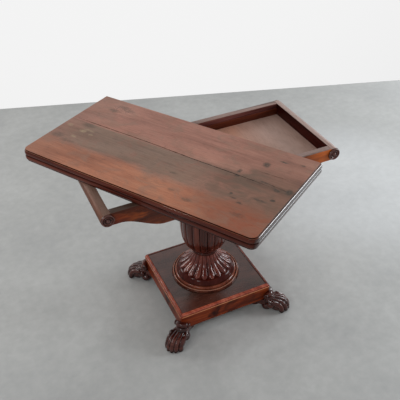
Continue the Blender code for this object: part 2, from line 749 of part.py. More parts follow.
def make_plinth(root):
    """Square plinth: rails and mouldings mitred at the corners, a top board and hidden blocking."""
    inner = PLINTH_HALF - MOULDING_WIDTH
    top = PLINTH_TOP
    under = PLINTH_TOP - MOULDING_HEIGHT
    outer = PLINTH_HALF
    moulding = [
        (inner, under),
        (inner, top - 0.0010),
        (inner + 0.0015, top),
        (outer - 0.0050, top),
        (outer - 0.0020, top - 0.0012),
        (outer - 0.0004, top - 0.0038),
        (outer, top - 0.0065),
        (outer - 0.0010, top - 0.0090),
        (outer - 0.0028, top - 0.0100),
        (outer - 0.0028, under),
    ]
    rail = [
        (PLINTH_INSIDE, PLINTH_UNDER),
        (PLINTH_INSIDE, PLINTH_RAIL_TOP),
        (PLINTH_FACE, PLINTH_RAIL_TOP),
        (PLINTH_FACE, PLINTH_UNDER + 0.001),
        (PLINTH_FACE - 0.001, PLINTH_UNDER),
    ]
    for name, turn in (("front", 0.0), ("right", 90.0), ("back", 180.0), ("left", 270.0)):
        piece("plinth_moulding_" + name, mitred_bar(moulding), MOULDING_WOOD, root, turn=(0, 0, turn))
        piece("plinth_rail_" + name, mitred_bar(rail), PLINTH_WOOD, root, turn=(0, 0, turn))
    reach = inner - FIT_GAP
    board = piece(
        "plinth_top_board",
        block((-reach, -reach, PLINTH_BOARD_UNDER), (reach, reach, PLINTH_BOARD_TOP)),
        PLINTH_WOOD,
        root,
    )
    bore(board, PLINTH_BOARD_UNDER, PLINTH_BOARD_TOP)
    reach = PLINTH_INSIDE - FIT_GAP
    core = piece(
        "plinth_core",
        block((-CORE_WIDTH / 2, -reach, CORE_UNDER), (CORE_WIDTH / 2, reach, CORE_TOP)),
        INSIDE_WOOD,
        root,
    )
    bore(core, CORE_UNDER, CORE_TOP)


def paw_shape():
    """Carved paw: a low dome scalloped into toes in front, plain at the heel. X points outwards."""
    spread = math.radians(TOE_SPREAD)
    centre = PAW_REACH - PAW_FRONT
    front = PAW_FRONT
    back = PAW_HEEL + centre
    half = PAW_WIDTH / 2
    height = PLINTH_UNDER + 0.004
    bearings = []
    count = TOES * TOE_STEPS
    for step in range(count + 1):
        bearings.append(-spread / 2 + spread * step / count)
    plain = 8
    for step in range(1, plain):
        bearings.append(spread / 2 + (2 * math.pi - spread) * step / plain)
    rings = []
    slopes = (14, 30, 46, 60, 72, 82, 90)
    for slope in slopes:
        slope = math.radians(slope)
        ring = []
        for bearing in bearings:
            x = math.cos(bearing)
            y = math.sin(bearing)
            length = front if x > 0 else back
            radius = 1 / math.sqrt((x / length) ** 2 + (y / half) ** 2)
            if bearing <= spread / 2 + 0.0001:
                crown = abs(math.sin(math.pi * TOES * (bearing + spread / 2) / spread))
            else:
                crown = 0.35 + 0.65 * math.sin(math.pi * (bearing - spread / 2) / (2 * math.pi - spread))
            dip = TOE_DEPTH * (1 - crown) * ease((math.degrees(slope) - 16) / 40)
            out = (radius - dip) * math.sin(slope) ** 0.80
            level = (height - 0.6 * dip * math.cos(slope)) * math.cos(slope) ** 0.72
            ring.append((centre + out * x, out * y, max(level, 0.0)))
        rings.append(ring)
    # The last ring is drawn in a little, so that the toes turn under to the floor
    floor_ring = rings.pop()
    raised = [(x, y, 0.006) for x, y, level in floor_ring]
    rings.append(raised)
    rings.append([(centre + 0.93 * (x - centre), 0.93 * y, 0.0) for x, y, level in floor_ring])
    return loft(rings)


def make_feet(root):
    """Four paws on the plinth's diagonals with scrolls at its corners, and their dowels."""
    corner = PLINTH_FACE * math.sqrt(2)
    neck_low = 0.55 * PLINTH_UNDER
    neck_size = (NECK_LENGTH / 2, NECK_WIDTH / 2, (SCROLL_LEVEL - neck_low) / 2 + 0.006)
    block_top = CORE_TOP
    block_out = PLINTH_INSIDE - FIT_GAP
    block_in = block_out - CORNER_BLOCK_SIDE
    dowel_low = 0.45 * PLINTH_UNDER
    dowel_high = PLINTH_UNDER + 0.5 * (block_top - PLINTH_UNDER)
    ends = (("front_left", -1, -1), ("front_right", 1, -1), ("back_right", 1, 1), ("back_left", -1, 1))
    for name, x_side, y_side in ends:
        bearing = math.degrees(math.atan2(y_side, x_side))
        reach = corner / math.sqrt(2)
        place = (x_side * reach, y_side * reach, 0.0)
        foot = piece("paw_" + name, paw_shape(), PAW_WOOD, root, place, (0, 0, bearing), angle=50.0)
        neck = ball((SCROLL_OUT, 0.0, (SCROLL_LEVEL + neck_low) / 2), neck_size, 14, 9)
        boolean(foot, neck, "UNION")
        shank = rod(SHANK_RADIUS, 0.35 * PLINTH_UNDER, PLINTH_UNDER + 0.004, 18, (-FOOT_DOWEL_IN, 0.0))
        boolean(foot, shank, "UNION")
        side = BRIDGE_WIDTH / 2
        bridge = block((-FOOT_DOWEL_IN, -side, 0.5 * PLINTH_UNDER), (SCROLL_OUT, side, PLINTH_UNDER + 0.003))
        boolean(foot, bridge, "UNION")
        width = SCROLL_WIDTH / 2
        scroll = rod(SCROLL_RADIUS, -width, width, 18, (SCROLL_OUT, SCROLL_LEVEL), axis="Y")
        boolean(foot, scroll, "UNION")
        # Clear of the plinth, whose corner points along X here
        reach = PLINTH_FACE + FIT_GAP
        plinth = block((-reach, -reach, PLINTH_UNDER - FIT_GAP), (reach, reach, PLINTH_TOP + 0.05))
        to_foot = Matrix.Rotation(-math.radians(bearing), 4, "Z") @ Matrix.Translation((-place[0], -place[1], 0.0))
        bmesh.ops.transform(plinth, matrix=to_foot, verts=plinth.verts)
        boolean(foot, plinth)
        hole = FOOT_DOWEL_RADIUS + FIT_GAP
        socket = rod(hole, dowel_low - FIT_GAP, PLINTH_UNDER + 0.02, 16, (-FOOT_DOWEL_IN, 0.0))
        boolean(foot, socket)

        low = (min(x_side * block_in, x_side * block_out), min(y_side * block_in, y_side * block_out))
        high = (max(x_side * block_in, x_side * block_out), max(y_side * block_in, y_side * block_out))
        corner_block = piece(
            "corner_block_" + name,
            block((*low, PLINTH_UNDER), (*high, block_top)),
            INSIDE_WOOD,
            root,
        )
        inside = (corner - FOOT_DOWEL_IN) / math.sqrt(2)
        spot = (x_side * inside, y_side * inside)
        boolean(corner_block, rod(hole, PLINTH_UNDER - 0.01, dowel_high + FIT_GAP, 16, spot))
        dowel = rod(FOOT_DOWEL_RADIUS, dowel_low, dowel_high, 16, spot)
        piece("foot_dowel_" + name, dowel, INSIDE_WOOD, root)


def plan_middle():
    """Middle of the table's plan in the shown pose, seen from the column."""
    turn = math.radians(-SWIVEL_SHOWN)
    xs = [-FRIEZE_LENGTH / 2, FRIEZE_LENGTH / 2]
    depth = APRON_FACE + FIT_GAP + ROUNDEL_RISE
    ys = [-depth, depth]
    for x, y in leaf_outline(0.0):
        x -= PIVOT_X
        y += PIVOT_Y
        xs.append(PIVOT_X + x * math.cos(turn) - y * math.sin(turn))
        ys.append(PIVOT_Y + x * math.sin(turn) + y * math.cos(turn))
    return (min(xs) + max(xs)) / 2, (min(ys) + max(ys)) / 2


middle_x, middle_y = plan_middle()
table = empty("table_origin", None, (-middle_x, -middle_y, 0.0))
frieze_frame = empty("frieze_frame", table, (0.0, 0.0, FRIEZE_TOP))
swivel_axis = empty("swivel_axis", table, (PIVOT_X, PIVOT_Y, FRIEZE_TOP), -SWIVEL_SHOWN)
make_top(swivel_axis)
make_frieze(frieze_frame)
make_column(table)
make_plinth(table)
make_feet(table)
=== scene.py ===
import math

import bmesh
import bpy
import numpy as np
from mathutils import Matrix, Vector, noise


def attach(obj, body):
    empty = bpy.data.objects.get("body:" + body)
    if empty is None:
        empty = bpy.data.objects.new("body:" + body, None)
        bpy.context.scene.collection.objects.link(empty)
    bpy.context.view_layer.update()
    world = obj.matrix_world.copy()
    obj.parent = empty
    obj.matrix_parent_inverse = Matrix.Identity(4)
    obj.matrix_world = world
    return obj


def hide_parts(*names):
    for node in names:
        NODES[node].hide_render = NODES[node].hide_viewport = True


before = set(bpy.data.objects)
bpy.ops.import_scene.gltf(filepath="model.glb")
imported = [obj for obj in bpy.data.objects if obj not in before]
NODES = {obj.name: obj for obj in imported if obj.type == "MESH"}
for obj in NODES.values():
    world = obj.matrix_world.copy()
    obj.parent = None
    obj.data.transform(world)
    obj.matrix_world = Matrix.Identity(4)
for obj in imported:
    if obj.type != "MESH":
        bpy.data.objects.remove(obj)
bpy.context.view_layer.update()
SCENE = bpy.context.scene
QUARTER = math.pi / 2

# Sizes shared with the part, in metres
AXIS = Vector((0.06784095, 0.03942457, 0.0))
GAP = 0.0003
LEAF_LENGTH = 0.909
LEAF_DEPTH = 0.447
LEAF_THICK = 0.0218
EDGE = 0.0050
FLAT = 0.0012
CORNER = 0.025
SWIVEL = math.radians(-58.0)
FOLD = Vector((0.11007880, 0.11562367, 0.71555))
BAIZE_MARGIN = 0.050
BAIZE_THICK = 0.0009
HINGE_X = 0.3695
HINGE_HALF = 0.030
PLATE_WIDTH = 0.022
PLATE_THICK = 0.0022
BARREL = 0.0035
FLANGE_SEAT = 0.0303
FLANGE_DEPTH = 0.0049
PEG_ORBIT = 0.043
PEG_HALF = 0.0043
PEG_DEPTH = 0.0056
PEG_SWEEP = 45
FRIEZE_TOP = 0.6933
ROLL_RADIUS = 0.0229
ROLL_CENTRE = 0.4134
RAIL_INSIDE = 0.4022
APRON_FACE = 0.197
APRON_THICK = 0.025
APRON_HEIGHT = 0.100
APRON_SWEEP = (0.375, 0.150)
WELL_LEFT = -0.0438
WELL_FLOOR = 0.6472
LINING_THICK = 0.0018
LINING_TALL = 0.027
PLINTH_TOP = 0.1225
PLINTH_HALF = 0.193
PLINTH_FACE = 0.189
PLINTH_UNDER = 0.047
MOULDING_WIDTH = 0.015
MOULDING_TALL = 0.013
BORE = 0.0143
LOBES = 20

LEAF_PLACE = Matrix.Translation(FOLD) @ Matrix.Rotation(SWIVEL, 4, "Z")
LEAF_MIDDLE = LEAF_PLACE @ Vector((0.0, -LEAF_DEPTH / 2, 0.0))
COLUMN_PLACE = Matrix.Translation(AXIS)
FRIEZE_PLACE = Matrix.Translation(AXIS + Vector((0.0, 0.0, FRIEZE_TOP)))


# Mesh helpers

def smoothstep(low, high, value):
    share = min(max((value - low) / (high - low), 0.0), 1.0)
    return share * share * (3 - 2 * share)


def curve_through(points, steps):
    """Smooth line through points, with steps pieces between each pair."""
    pts = np.array(points, float)
    ends = np.vstack([2 * pts[0] - pts[1], pts, 2 * pts[-1] - pts[-2]])
    out = []
    for i in range(len(pts) - 1):
        a, b, c, d = ends[i:i + 4]
        for k in range(steps):
            t = k / steps
            out.append(0.5 * (2 * b + (c - a) * t + (2 * a - 5 * b + 4 * c - d) * t * t
                              + (3 * b - a - 3 * c + d) * t ** 3))
    out.append(pts[-1])
    return [tuple(p) for p in out]


def sized(points, width, height, inner=0.0):
    """Points given as shares of a width, counted from inner, and of a height."""
    return [(inner + x * width, y * height) for x, y in points]


def arc(cx, cy, radius, start, end, steps):
    out = []
    for k in range(steps + 1):
        turn = math.radians(start + (end - start) * k / steps)
        out.append((cx + radius * math.cos(turn), cy + radius * math.sin(turn)))
    return out


def circle(radius, level, steps, middle=(0.0, 0.0)):
    turns = [2 * math.pi * k / steps for k in range(steps)]
    return [(middle[0] + radius * math.cos(turn), middle[1] + radius * math.sin(turn), level)
            for turn in turns]


def from_rings(rings, closed=False):
    """Closed shell through matching rings: capped at both ends, or joined end to end."""
    shape = bmesh.new()
    loops = [[shape.verts.new(p) for p in ring] for ring in rings]
    pairs = list(zip(loops, loops[1:]))
    if closed:
        pairs.append((loops[-1], loops[0]))
    for first, second in pairs:
        for i in range(len(first)):
            j = (i + 1) % len(first)
            shape.faces.new((first[i], first[j], second[j], second[i]))
    if not closed:
        shape.faces.new(list(reversed(loops[0])))
        shape.faces.new(loops[-1])
    bmesh.ops.recalc_face_normals(shape, faces=shape.faces)
    return shape


def prism(line, levels):
    """Plan outline drawn up from one level to another."""
    return from_rings([[(x, y, level) for x, y in line] for level in levels])


def box_shape(low, high):
    low, high = Vector(low), Vector(high)
    shape = bmesh.new()
    place = Matrix.LocRotScale((low + high) / 2, None, high - low)
    bmesh.ops.create_cube(shape, size=1.0, matrix=place)
    return shape


def drum(shape, radius, depth, place, segments):
    bmesh.ops.create_cone(shape, cap_ends=True, segments=segments, radius1=radius, radius2=radius,
                          depth=depth, matrix=Matrix.Translation(place))


def lathe(profile, steps, relief=None):
    """Turned ring about Z with a bore; relief(share, turn, point) is a height off its surface."""
    pts = np.array(profile, float)
    along = np.gradient(pts, axis=0)
    normal = np.stack([-along[:, 1], along[:, 0]], -1)
    normal /= np.linalg.norm(normal, axis=1)[:, None]
    if (normal[:, 0]).sum() < 0:
        normal = -normal
    rings = []
    for row, (point, out) in enumerate(zip(pts, normal)):
        ring = []
        for k in range(steps):
            turn = 2 * math.pi * k / steps
            rise = relief(row / (len(pts) - 1), turn, point) if relief else 0.0
            radius = point[0] + rise * out[0]
            level = point[1] + rise * out[1]
            ring.append((radius * math.cos(turn), radius * math.sin(turn), level))
        rings.append(ring)
    rings += [circle(BORE, level, steps) for level in (pts[-1][1], pts[0][1])]
    return from_rings(rings, closed=True)


def shade(mesh, angle):
    mesh.shade_smooth()
    mesh.set_sharp_from_angle(angle=math.radians(angle))


def make(name, shape, place=None, angle=32.0):
    """Object from a bmesh, with its place in the mesh, so that texture space is the frame's."""
    mesh = bpy.data.meshes.new(name)
    shape.to_mesh(mesh)
    shape.free()
    if place is not None:
        mesh.transform(place)
    shade(mesh, angle)
    made = bpy.data.objects.new(name, mesh)
    SCENE.collection.objects.link(made)
    return made


def settle(obj, angle=32.0):
    """Applies an object's modifiers to its mesh."""
    bpy.context.view_layer.update()
    graph = bpy.context.evaluated_depsgraph_get()
    mesh = bpy.data.meshes.new_from_object(obj.evaluated_get(graph))
    obj.modifiers.clear()
    old = obj.data
    obj.data = mesh
    bpy.data.meshes.remove(old)
    shade(mesh, angle)
    return obj


def carve(obj, shapes, place=None, angle=32.0):
    """Cuts shapes, given in the object's own frame before it was placed, out of it."""
    tools = [make("tool", shape, place) for shape in shapes]
    for tool in tools:
        change = obj.modifiers.new("Cut", "BOOLEAN")
        change.operation = "DIFFERENCE"
        change.solver = "EXACT"
        change.object = tool
    settle(obj, angle)
    for tool in tools:
        mesh = tool.data
        bpy.data.objects.remove(tool)
        bpy.data.meshes.remove(mesh)
    return obj


def soften(obj, width, segments=3):
    """Small rounded arrises."""
    bevel = obj.modifiers.new("Arris", "BEVEL")
    bevel.width = width
    bevel.segments = segments
    bevel.limit_method = "ANGLE"
    bevel.angle_limit = math.radians(28)
    return obj


def mark(obj, name, values):
    """Gives each vertex a share that a material reads by name."""
    attribute = obj.data.attributes.new(name, "FLOAT", "POINT")
    attribute.data.foreach_set("value", np.asarray(values, np.float32))


def stand_for(obj, body, slot, material, *nodes):
    """Gives a piece its material and its body, and hides the nodes it stands for; slot is not
    used.
    """
    obj.data.materials.clear()
    obj.data.materials.append(MATERIALS[material])
    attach(obj, body)
    if nodes:
        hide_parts(*nodes)
    return obj


# Material helpers

def srgb(r, g, b):
    out = []
    for value in (r, g, b):
        value /= 255
        out.append(value / 12.92 if value <= 0.04045 else ((value + 0.055) / 1.055) ** 2.4)
    return (*out, 1.0)


class Paint:
    """Adds nodes to a material or world; a value is a number, a colour or a node's socket."""

    def __init__(self, made, shader="Principled BSDF"):
        self.made = made
        made.use_nodes = True
        self.tree = made.node_tree
        self.shader = self.tree.nodes[shader]
        coords = self.tree.nodes.new("ShaderNodeTexCoord")
        self.place = coords.outputs["Object"]
        self.normal = coords.outputs["Normal"]
        self.way = coords.outputs["Generated"]

    def feed(self, socket, value):
        if isinstance(value, bpy.types.NodeSocket):
            self.tree.links.new(value, socket)
        else:
            socket.default_value = value

    def add(self, kind, inputs, out=0, **props):
        node = self.tree.nodes.new("ShaderNode" + kind)
        for key, value in props.items():
            setattr(node, key, value)
        for key, value in inputs.items():
            self.feed(node.inputs[key], value)
        return node.outputs[out]

    def vector(self, kind, a, b):
        return self.add("VectorMath", {0: a, 1: b}, operation=kind)

    def length(self, vector):
        return self.add("VectorMath", {0: vector}, out=1, operation="LENGTH")

    def split(self, vector):
        """X, Y and Z of a vector."""
        return tuple(self.add("SeparateXYZ", {0: vector}).node.outputs)

    def space(self, turn, move, tilt=(0.0, 0.0)):
        """Object space, moved, then tilted and turned about Z."""
        moved = self.vector("SUBTRACT", self.place, move)
        return self.add("Mapping", {"Vector": moved, "Rotation": (*tilt, turn)},
                        vector_type="POINT")

    def noise(self, vector, stretch, detail=3.0, rough=0.55, warp=0.0):
        stretched = self.vector("MULTIPLY", vector, stretch)
        return self.add("TexNoise", {"Vector": stretched, "Scale": 1.0, "Detail": detail,
                                     "Roughness": rough, "Distortion": warp})

    def wavy(self, vector, stretch, reach):
        """Space for grain that wanders off its line by up to reach."""
        wander = self.noise(vector, stretch, 2.0)
        return self.vector("ADD", vector, self.vector("MULTIPLY", wander, reach))

    def math(self, kind, a, b=0.0, clamp=False):
        return self.add("Math", {0: a, 1: b}, operation=kind, use_clamp=clamp)

    def scale_add(self, value, factor, plus):
        return self.add("Math", {0: value, 1: factor, 2: plus}, operation="MULTIPLY_ADD")

    def times(self, first, *others):
        """Product of several shares."""
        for other in others:
            first = self.math("MULTIPLY", first, other)
        return first

    def span(self, value, low, high, to_low=0.0, to_high=1.0):
        return self.add("MapRange", {"Value": value, "From Min": low, "From Max": high,
                                     "To Min": to_low, "To Max": to_high},
                        interpolation_type="SMOOTHSTEP")

    def mix(self, share, a, b):
        node = self.tree.nodes.new("ShaderNodeMix")
        node.data_type = "RGBA"
        for index, value in ((0, share), (6, a), (7, b)):
            self.feed(node.inputs[index], value)
        return node.outputs[2]

    def over(self, under, colour, *shares):
        """Lays a colour, a socket or sRGB, over another by the product of some shares."""
        if not isinstance(colour, bpy.types.NodeSocket):
            colour = srgb(*colour)
        return self.mix(self.times(*shares), under, colour)

    def ramp(self, value, stops):
        node = self.tree.nodes.new("ShaderNodeValToRGB")
        self.feed(node.inputs[0], value)
        parts = node.color_ramp.elements
        while len(parts) < len(stops):
            parts.new(0.5)
        for part, (place, colour) in zip(parts, stops):
            part.position = place
            part.color = colour
        return node.outputs[0]

    def tones(self, value, places, colours):
        """Ramp through sRGB colours."""
        return self.ramp(value, [(place, srgb(*tone)) for place, tone in zip(places, colours)])

    def attribute(self, name):
        return self.add("Attribute", {}, out=2, attribute_name=name)

    def finish(self, colour, rough, height, depth, **extra):
        self.feed(self.shader.inputs["Base Color"], colour)
        self.feed(self.shader.inputs["Roughness"], rough)
        bump = self.add("Bump", {"Height": height, "Distance": depth, "Strength": 1.0})
        self.feed(self.shader.inputs["Normal"], bump)
        for key, value in extra.items():
            socket = key.replace("_", " ").title().replace("Ior", "IOR")
            self.feed(self.shader.inputs[socket], value)
        return self.made


# Dark, middle and light tone of each timber, in sRGB
TONES = {
    "carved": ((46, 16, 11), (86, 35, 25), (124, 62, 46)),
    "veneer": ((50, 19, 10), (88, 38, 20), (126, 58, 28)),
    "rail": ((76, 45, 34), (110, 71, 55), (136, 96, 77)),
    "plinth": ((46, 21, 15), (70, 37, 28), (90, 52, 41)),
    "fascia": ((56, 18, 9), (116, 44, 21), (164, 78, 37)),
    "moulding": ((112, 46, 32), (164, 77, 56), (198, 116, 90)),
    # Shaded copies of the moulding tone, as painted shade: lighter shade for the left bar, deeper
    # for the back and right bars
    "half_shaded_moulding": ((97, 40, 28), (142, 66, 48), (174, 100, 78)),
    "shaded_moulding": ((58, 23, 16), (92, 41, 29), (120, 64, 48)),
    "roundel": ((54, 23, 17), (98, 52, 43), (132, 86, 75)),
    "bell": ((56, 17, 11), (100, 38, 27), (138, 70, 54)),
    # Dark tone, as painted shade on the apron tops
    "edge": ((46, 32, 26), (75, 56, 47), (94, 73, 62)),
    "turned": ((70, 28, 17), (124, 60, 39), (152, 88, 64)),
    "paw": ((36, 10, 7), (66, 23, 16), (98, 48, 37)),
    "well": ((140, 110, 98), (168, 137, 124), (186, 155, 142)),
    # Painted shade: the rails' inner faces in the well are very dark
    "inner": ((30, 7, 4), (50, 12, 7), (72, 22, 13)),
    "inner_long": ((64, 30, 26), (100, 56, 51), (128, 82, 75)),
    "lining": ((47, 16, 9), (81, 33, 18), (116, 53, 30)),
    "deal": ((126, 92, 58), (158, 120, 80), (178, 142, 98)),
}
TONE_PLACES = (0.28, 0.50, 0.74)
LACQUER = 0.6


def wood(name, tone, turn=0.0, tilt=(0.0, 0.0), figure=0.0, figure_tone=None, patch=None,
         rough=(0.28, 0.46), coat=0.25, hollow_shade_and_dirt=None, grain=1.0, seed=0.0, spread=(1.6, 26),
         streak=0.55, shine=0.17, painted_light=None, painted_highlight=None, painted_top_light=None):
    """Polished timber. The grain runs along X after turn and tilt."""
    p = Paint(bpy.data.materials.new(name))
    lacquer = LACQUER * coat
    space = p.space(turn, (seed, 0.7 * seed, 0.0), tilt)
    bent = p.wavy(space, (1.3, 7, 7), (0.0, 0.02, 0.02))
    broad = p.noise(bent, (spread[0], spread[1], spread[1]), 4.0, 0.6)
    fine = p.noise(bent, (7, 260, 260), 3.0, 0.6)
    pores = p.noise(bent, (32, 1100, 1100), 2.0, 0.5)
    lines = p.scale_add(fine, streak, -0.5 * streak)
    colour = p.tones(p.math("ADD", broad, lines), TONE_PLACES, TONES[tone])
    if figure_tone is not None:
        flame = p.noise(bent, (3.2, 11, 8), 3.0, 0.65, figure)
        colour = p.over(colour, figure_tone, p.span(flame, 0.50, 0.68))
    if patch is not None:
        cloud = p.noise(space, (3.5, 6, 6), 3.0, 0.6, 0.6)
        colour = p.over(colour, patch, p.span(cloud, 0.5, 0.72, 0.0, 0.8))
    # Painted light: faces that look up are painted paler
    if painted_top_light is not None:
        up = p.split(p.normal)[2]
        colour = p.over(colour, painted_top_light, p.span(up, 0.72, 0.97), p.span(fine, 0.2, 0.6, 0.6, 1.0))
    # Painted light: a warmer or paler colour laid over one span along X, where light falls
    if painted_light is not None:
        start, end, lit_colour = painted_light
        along = p.split(p.place)[0]
        colour = p.over(colour, lit_colour, p.span(along, start, end),
                        p.span(broad, 0.35, 0.55, 0.35, 1.0))
    # Painted highlight on the vertices marked for it
    if painted_highlight is not None:
        colour = p.over(colour, painted_highlight, p.attribute("painted_highlight"), p.span(fine, 0.25, 0.60, 0.5, 1.0))
    pore_tone = (*(0.35 * c for c in srgb(*TONES[tone][0])[:3]), 1.0)
    colour = p.mix(p.span(pores, 0.56, 0.72, 0.0, 0.55 * grain), colour, pore_tone)
    # Painted shade and dirt in grooves and hollows, by the share marked on each vertex
    if hollow_shade_and_dirt is not None:
        shade_and_dirt = p.span(p.noise(space, (60, 60, 60)), 0.2, 0.6, 0.75, 1.0)
        share = p.math("MULTIPLY", p.attribute("hollow_shade_and_dirt"), shade_and_dirt, True)
        colour = p.over(colour, hollow_shade_and_dirt, share)
        shine = p.span(share, 0.0, 1.0, shine, 0.3 * shine)
        lacquer = p.span(share, 0.0, 1.0, lacquer, 0.2 * lacquer)
    smear = p.noise(space, (9, 22, 22), 4.0, 0.6, 0.4)
    gloss = p.span(smear, 0.3, 0.7, *rough)
    height = p.scale_add(pores, -0.5 * grain, p.times(smear, 0.5))
    return p.finish(colour, gloss, height, 0.00012, specular_ior_level=shine, coat_weight=lacquer,
                    coat_roughness=0.10)


# Leaf coordinates: X along the length from the middle, Y towards the hinge edge, in metres
LONG_CRACK = [(-0.430, 0.0392), (-0.410, 0.0379), (-0.231, 0.0368), (-0.092, 0.0352),
              (0.026, 0.0310), (0.075, 0.0285), (0.172, 0.0270), (0.251, 0.0257),
              (0.342, 0.0225), (0.408, 0.0190)]
SHORT_CRACK = [(0.296, 0.0776), (0.319, 0.0783), (0.358, 0.0793), (0.412, 0.0818)]
HAIR_CRACK = [(0.346, 0.0335), (0.384, 0.0290), (0.436, 0.0235)]
# Line, half width, depth and seed of each split
CRACKS = ((LONG_CRACK, 0.0016, 0.0070, 1.0), (SHORT_CRACK, 0.0008, 0.0030, 2.0),
          (HAIR_CRACK, 0.0008, 0.0030, 3.0))
# Place, half sizes, strength
DARK_SPOTS = [
    (-0.329, 0.184, 0.034, 0.014, 0.45), (-0.352, 0.148, 0.026, 0.014, 0.40),
    (-0.300, 0.172, 0.030, 0.012, 0.40), (-0.413, -0.088, 0.030, 0.022, 0.45),
    (-0.360, -0.100, 0.038, 0.012, 0.40), (-0.357, 0.016, 0.036, 0.016, 0.50),
    (0.248, 0.048, 0.009, 0.013, 0.90), (0.254, 0.022, 0.011, 0.008, 0.85),
    (0.306, 0.122, 0.016, 0.018, 0.85), (0.348, 0.164, 0.017, 0.005, 0.90),
    (0.409, 0.178, 0.012, 0.006, 0.70), (0.285, -0.069, 0.007, 0.007, 0.95),
    (0.301, -0.084, 0.016, 0.005, 0.75), (0.330, -0.098, 0.014, 0.006, 0.70),
    (0.410, -0.037, 0.009, 0.008, 0.90), (0.374, -0.056, 0.032, 0.006, 0.60),
    (0.434, 0.026, 0.014, 0.018, 0.85), (0.397, 0.013, 0.014, 0.009, 0.80),
    (0.343, 0.032, 0.018, 0.006, 0.70), (0.072, -0.071, 0.022, 0.006, 0.45),
    (0.187, -0.167, 0.022, 0.010, 0.45), (0.118, -0.150, 0.016, 0.008, 0.35),
    (0.352, -0.150, 0.030, 0.012, 0.40),
]
PALE_SPOTS = [(-0.351, -0.024, 0.017, 0.011, 0.85), (-0.357, -0.067, 0.015, 0.008, 0.70),
              (-0.335, -0.010, 0.030, 0.007, 0.50), (-0.421, -0.012, 0.016, 0.010, 0.50),
              (-0.310, -0.030, 0.012, 0.006, 0.50)]
FRESH = ((52, 19, 13), (88, 38, 27), (116, 58, 43))
# Painted shade and dirt on the moulded edge, in the groove at the fold and in the quirk, by height
# above the fold as a share of the thickness
EDGE_SHADE_AND_DIRT = ((0.0, 1.0), (0.05, 0.9), (0.13, 0.15), (0.30, 0.0), (0.73, 0.0), (0.785, 0.95),
             (0.90, 0.90), (0.97, 0.25))


def spot_mask(p, space, spots):
    """Largest of several soft blots in leaf coordinates."""
    total = None
    for x, y, half_x, half_y, strength in spots:
        moved = p.vector("SUBTRACT", space, (x, y, 0.0))
        away = p.length(p.vector("MULTIPLY", moved, (1 / half_x, 1 / half_y, 0.0)))
        blot = p.span(away, 0.35, 1.15, strength, 0.0)
        total = blot if total is None else p.math("MAXIMUM", total, blot)
    return total


def faded_face(p, space, shifted, tone):
    """Colour of the faded and stained show side, and the share of its dull band."""
    x, y, _ = p.split(space)
    ragged = p.noise(shifted, (6, 16, 16), 5.0, 0.62, 0.5)
    blotch = p.noise(shifted, (16, 26, 26), 5.0, 0.68, 0.8)
    cloud = p.noise(shifted, (11, 17, 17), 4.0, 0.62, 0.9)
    edge_y = p.scale_add(ragged, 0.09, p.math("SUBTRACT", y, 0.045))
    edge_x = p.scale_add(ragged, 0.20, p.math("SUBTRACT", x, 0.10))

    def grained(*colours):
        return p.tones(tone, (0.24, 0.5, 0.78), colours)

    face = grained((126, 80, 64), (166, 112, 94), (182, 130, 110))
    # Warmer front zone
    face = p.over(face, grained((134, 78, 52), (175, 109, 77), (190, 128, 94)),
                  p.span(edge_y, -0.135, -0.080, 0.9, 0.0))
    # Dull grey-brown band in front of the long split
    band = p.times(p.span(edge_y, -0.130, -0.085), p.span(y, 0.024, 0.036, 1.0, 0.0),
                   p.span(edge_x, 0.08, 0.30, 0.85, 0.0), p.span(edge_x, -0.48, -0.30, 0.10, 1.0),
                   p.span(blotch, 0.50, 0.72, 1.0, 0.55))
    face = p.over(face, grained((98, 80, 66), (125, 103, 87), (142, 118, 100)), band)
    # Darker right end, redder near the front corner
    face = p.over(face, grained((84, 56, 42), (118, 83, 65), (134, 99, 80)),
                  p.span(edge_x, 0.12, 0.40, 0.0, 0.85), p.span(y, 0.05, 0.13, 1.0, 0.45))
    face = p.over(face, (150, 76, 46), p.span(edge_x, 0.05, 0.42),
                  p.span(edge_y, -0.15, -0.06, 1.0, 0.0), p.span(blotch, 0.40, 0.62, 0.45, 0.90))
    # Dirt worked into the wood along the right half of the long split
    aside = p.math("ABSOLUTE", p.scale_add(x, 0.024, p.math("SUBTRACT", y, 0.029)))
    face = p.over(face, (74, 58, 44), p.span(aside, 0.002, 0.024, 0.75, 0.0),
                  p.span(edge_x, -0.10, 0.30), p.span(blotch, 0.38, 0.60, 0.4, 1.0))
    face = p.over(face, (112, 72, 54), p.span(blotch, 0.52, 0.70, 0.0, 0.30))
    # Soft grey-brown clouds, strongest as smudges round the dark spots at the right
    face = p.over(face, (136, 106, 88), p.span(cloud, 0.48, 0.66, 0.0, 0.45))
    face = p.over(face, (92, 72, 56), p.span(p.math("ABSOLUTE", y), 0.06, 0.14, 1.0, 0.0),
                  p.span(edge_x, 0.10, 0.30), p.span(cloud, 0.36, 0.70, 0.0, 0.70))
    # Greyer left end, with a freckled stain near the rear corner
    face = p.over(face, (132, 98, 82), p.span(edge_x, -0.47, -0.28, 0.40, 0.0))
    apart = p.vector("SUBTRACT", space, (-0.328, 0.168, 0.0))
    apart = p.length(p.vector("MULTIPLY", apart, (1.0, 1.9, 0.0)))
    freckle = p.span(p.noise(space, (150, 210, 0), 2.0), 0.48, 0.62, 0.0, 0.55)
    face = p.over(face, (70, 54, 44), p.span(apart, 0.030, 0.062, 1.0, 0.0), freckle)
    # Spots with broken outlines
    jitter = p.noise(space, (90, 90, 0)).node.outputs[1]
    moved = p.vector("ADD", space, p.vector("MULTIPLY", jitter, (0.014, 0.010, 0.0)))
    moved = p.vector("SUBTRACT", moved, (0.007, 0.005, 0.0))
    fleck = p.span(p.noise(space, (130, 130, 0)), 0.34, 0.54, 0.50, 1.0)
    for spots, colour in ((DARK_SPOTS, (58, 50, 39)), (PALE_SPOTS, (164, 142, 112))):
        face = p.over(face, colour, spot_mask(p, moved, spots), fleck)
    return face, band


